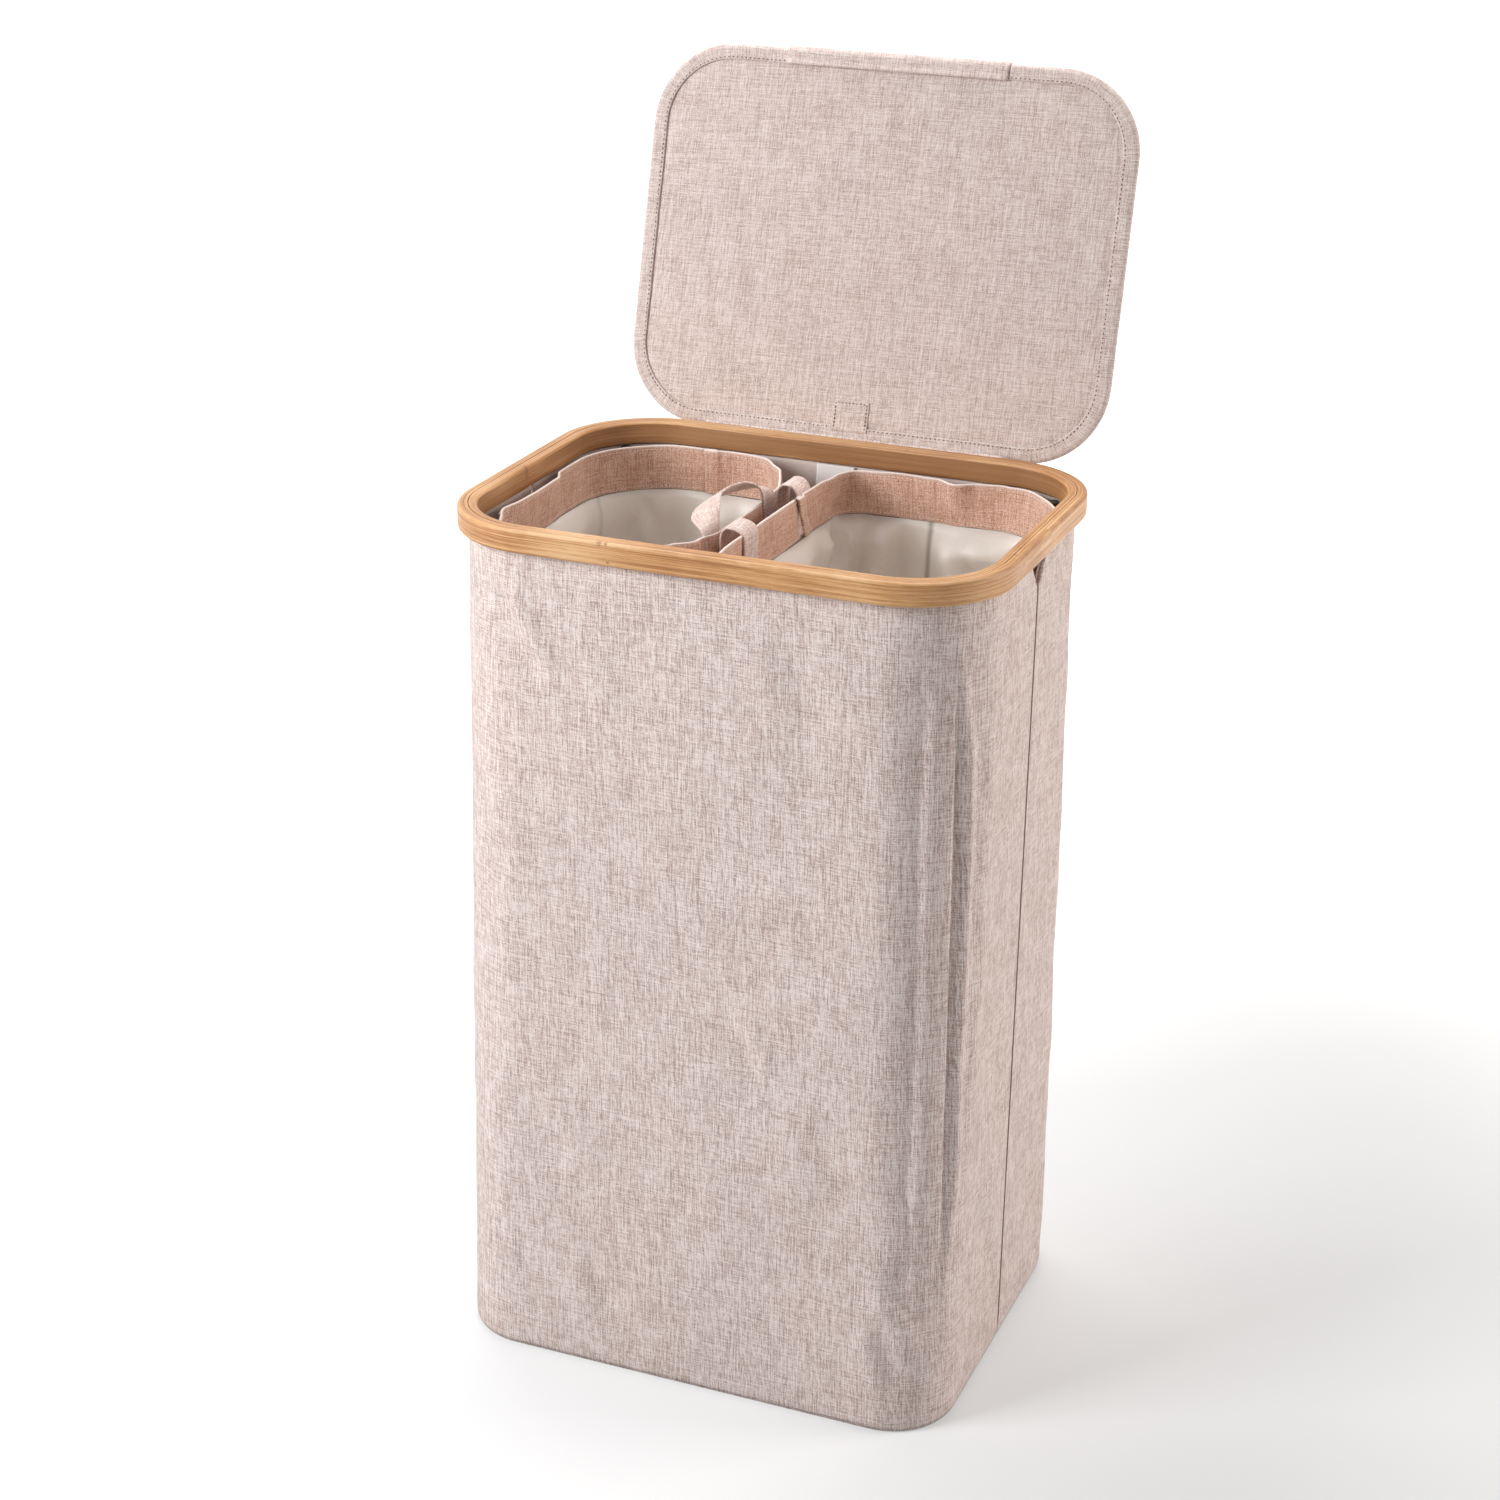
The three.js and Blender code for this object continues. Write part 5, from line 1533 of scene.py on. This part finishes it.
right_waves = [
    (0.00, 1, 1, 0), (0.06, -1, 0, 0), (0.10, 1, 0.5, 0), (0.138, -0.5, -0.5, 1.5), (0.165, 0, -0.5, 2),
    (0.19, -1.5, 0, 1), (0.217, -4.5, -1.5, 0), (0.236, -11, -3, -0.5), (0.256, -4, -0.5, 0),
    (0.29, -3, -0.5, 0.5), (0.32, -5.5, -1.5, 0), (0.335, -6, -2, 0), (0.352, -7.5, -3, -0.5),
    (0.375, -8, -4, 0), (0.40, -4, -2, 0), (0.44, -2.5, -1, 0), (0.53, -0.5, 0, 0), (0.60, 1, 0.5, 0),
    (0.63, -1, 0, 0), (0.68, -3, -1, 0), (0.74, -0.5, 0, 0), (0.80, -3, 0, 0), (0.86, -1, -0.5, 0),
    (0.93, -2, 0, 0),
]
left_folds = [Crease([(172, 590), (190, 552), (214, 515), (230, 480)], 9, 9, 0.6, 1, 1.5),
              Crease([(232, 594), (246, 545), (240, 500)], 8, 8, 0.6, -1, 1.5),
              Crease([(262, 590), (250, 560), (256, 530), (262, 500)], 6, 7, 0.6, 1),
              Crease([(140, 590), (156, 550), (172, 520)], 9, 8, 0.6, 1, 1.5)]
right_folds = [Crease([(214, 577), (196, 571), (172, 573), (140, 577)], 12, 6, 0.6, 1, 2),
               Crease([(243, 596), (247, 570), (252, 545), (256, 500)], 10, 7, 0.7, 1, 2),
               Crease([(270, 600), (288, 568), (304, 545), (320, 500)], 11, 8, 0.7, -1, 2),
               Crease([(205, 570), (192, 550), (178, 520), (172, 485)], 9, 9, 0.6, 1),
               Crease([(318, 590), (326, 555), (330, 500)], 8, 8, 0.6, 1)]
bags = [Bag("left_bag", -1, 44 * MM, left_waves, 0.25, 0, 0.386, left_folds, 2.0),
        Bag("right_bag", 1, 26 * MM, right_waves, 0.44, 19.5, 0.262, right_folds, 11.0)]
for bag in bags:
    collar(bag)
    lining(bag)
    bag_floor(bag)
    print(f"{bag.name}: {bag.ring.length:.3f} m round, {len(bag.waves)} waves, {len(bag.creases)} folds")

# %% [markdown]
# ## Hook and loop strips, and the tape at the rear
#
# A short strip of hook and loop at the front and the back holds each bag to the facing. A white tape
# hangs from the back wall. A strip this small could be a thin box, but as a bent grid it gets the same
# weave and unevenness as the other cloth.

# %% Hook and loop strips
fastening = speckled("fastening_finish", (0.50, 0.43, 0.37), (0.66, 0.58, 0.52), 0.95, scale=1.4)


def fastening_strip(name, node, body, seed):
    """A strip that hangs flat in the x-z plane, slightly uneven."""
    low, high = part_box(node)
    width, height, thickness = high.x - low.x, high.z - low.z, high.y - low.y

    def shape(along, across):
        wave = 0.12 * MM * soft(along, across, 8 * MM, seed)
        return stack(low.x + along, (low.y + high.y) / 2 + wave, low.z + across)

    made = shaped(name, flat_grid(width, height, 1.6 * MM), shape, body, fastening, "fastening_strip", node,
                  thickness=thickness - 0.3 * MM, offset=0)
    made.modifiers.new("soft_edge", "BEVEL").width = 0.3 * MM


for bag in bags:
    for face in ("front", "back"):
        hook, loop = f"{bag.name}_{face}_hook", f"{bag.name.split('_')[0]}_{face}_loop"
        fastening_strip(hook + "_cloth", hook + "_strip", bag.name, bag.seed)
        fastening_strip(loop + "_cloth", loop + "_strip", "hamper", bag.seed + 1)

# %% The tape at the rear
tape_low, tape_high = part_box("rear_tape")
rear_width, rear_height = 30 * MM, tape_high.z - tape_low.z


def hung_tape(along, across):
    drop = 1 - across / rear_height
    side = along - rear_width / 2
    x = (tape_low.x + tape_high.x) / 2 + side * (1 - 0.35 * drop) - 5 * MM * drop
    y = (tape_low.y + tape_high.y) / 2 - 2.5 * MM * drop + side * 0.12 * drop
    return stack(x, y + 0.4 * MM * soft(along, across, 12 * MM, 3.0), tape_low.z + across)


rear = shaped("rear_tape_cloth", flat_grid(rear_width, rear_height, 1.5 * MM), hung_tape, "hamper",
              tape_cloth, "white_tape", "rear_tape", thickness=tape_thickness, offset=0)

# %% [markdown]
# ## Handles
#
# A handle is a flat strap of folded linen, sewn to the collar at both ends. One stands up as a hoop
# between the bags, and one is folded over the collar's edge. The outer ones hang down outside the
# collars. A strap could be extruded along a curve, but a curve's twist is hard to steer where the strap
# leans. So each follows a line of keys, with a place and the direction of the strap's width, and the
# places between them are rounded off.

# %% The strap of a handle
handle_width = 24 * MM
handle_thickness = 1.5 * MM


def handle(name, node, bag, keys, passes, seed):
    """A strap along keys of (x, y, z, width direction x, y, z), in millimetres."""
    path, runs = eased_path(np.array(keys, float) * ([MM] * 3 + [1] * 3), 1.5 * MM, passes)
    length = runs[-1]

    def shape(along, across):
        columns = [np.interp(along, runs, column) for column in path.T]
        middle, width = np.column_stack(columns[:3]), np.column_stack(columns[3:])
        width /= np.linalg.norm(width, axis=1, keepdims=True)
        side = across - handle_width / 2
        slopes = [np.gradient(column, runs) for column in path[:, :3].T]
        ahead = np.column_stack([np.interp(along, runs, slope) for slope in slopes])
        up = np.cross(ahead, width)
        up /= np.maximum(np.linalg.norm(up, axis=1, keepdims=True), 1e-9)
        ends = smooth_rise(along, 0, 30 * MM) * (1 - smooth_rise(along, length - 30 * MM, length))
        wave = 0.5 * MM * ends * soft(along, across, 22 * MM, seed)
        return middle + width * side[:, None] + up * wave[:, None]

    made = shaped(name, flat_grid(length, handle_width, 2.0 * MM), shape, bag.name, handle_linen, "linen",
                  node, thickness=handle_thickness, offset=0)
    folded = made.modifiers.new("folded_edge", "BEVEL")
    folded.width, folded.segments = 0.5 * MM, 2


# %% The standing handle
collar_top = (bags[0].high.z + collar_lift * MM) / MM
left_face, right_face = bags[0].high.x / MM, bags[1].low.x / MM
sewn_in, sewn_out = 3.2, 1.3
hoop_start, hoop_end = left_face - sewn_in, left_face + sewn_out
hoop = [(hoop_start, -50, collar_top - 33, 0, 1, 0), (hoop_start, -50, collar_top - 6, 0, 1, 0),
        (left_face - 4.5, -48, collar_top + 3.5, 0.1, 0.97, 0.1),
        (left_face - 14, -36, collar_top + 7, 0.6, 0.65, 0.4),
        (left_face - 22, -14, collar_top + 7, 0.75, 0.35, 0.6),
        (left_face - 23, 8, collar_top + 7, 0.8, 0.05, 0.6),
        (left_face - 18, 25, collar_top + 7, 0.72, -0.4, 0.55),
        (left_face - 10, 35, collar_top + 7, 0.45, -0.78, 0.42),
        (left_face - 2.5, 41, collar_top + 6, 0.3, -0.92, 0.25), (hoop_end, 45, collar_top + 1, 0, -1, 0.1),
        (hoop_end, 48, collar_top - 10, 0, -1, 0), (hoop_end, 50, collar_top - 33, 0, -1, 0)]
handle("left_bag_hoop_cloth", "left_bag_inner_handle", bags[0], hoop, 26, 3.0)

# %% The folded handles
fold_in = right_face + sewn_in
fold_turn = 12
outer_handle_legs = ((-51, 1), (51, -1))


def bottom(x, first, second, drop, out):
    """The low end of a handle that hangs down, where it turns from one leg to the other."""
    low = collar_top - drop
    return [(x, first + fold_turn, low, 0, out, out), (x, second - fold_turn, low, 0, -out, out)]


def fold(y, reach, rise, way):
    """A leg that comes up inside the collar, arches over its edge and hangs down beyond it."""
    beyond = right_face - reach
    return [(fold_in, y, collar_top - 30, 0, way, 0), (fold_in, y, collar_top - 1, 0, way, 0),
            (fold_in - 3, y, collar_top + rise, 0, way, 0), (beyond + 4, y, collar_top + rise + 2, 0, way, 0),
            (beyond, y, collar_top + rise - 3, 0, way, 0), (beyond, y, collar_top - 24, 0, way, 0)]


folded = fold(-43, 15, 3, -1) + bottom(right_face - 11, -43, 58, 49, -1) + fold(58, 13, 6, 1)[::-1]
handle("right_bag_folded_handle_cloth", "right_bag_inner_handle", bags[1], folded, 9, 4.0)
for bag, out in zip(bags, (-1, 1)):
    face = (bag.low.x if out < 0 else bag.high.x) / MM + out * (sewn_out + 0.2)
    legs = [[(face, y, collar_top - height, 0, way * out, 0) for height in (5, 26)]
            for y, way in outer_handle_legs]
    handle(f"{bag.name}_outer_handle_cloth", f"{bag.name}_outer_handle", bag,
           legs[0] + bottom(face, -51, 51, 49, out) + legs[1][::-1], 4, 5.0)
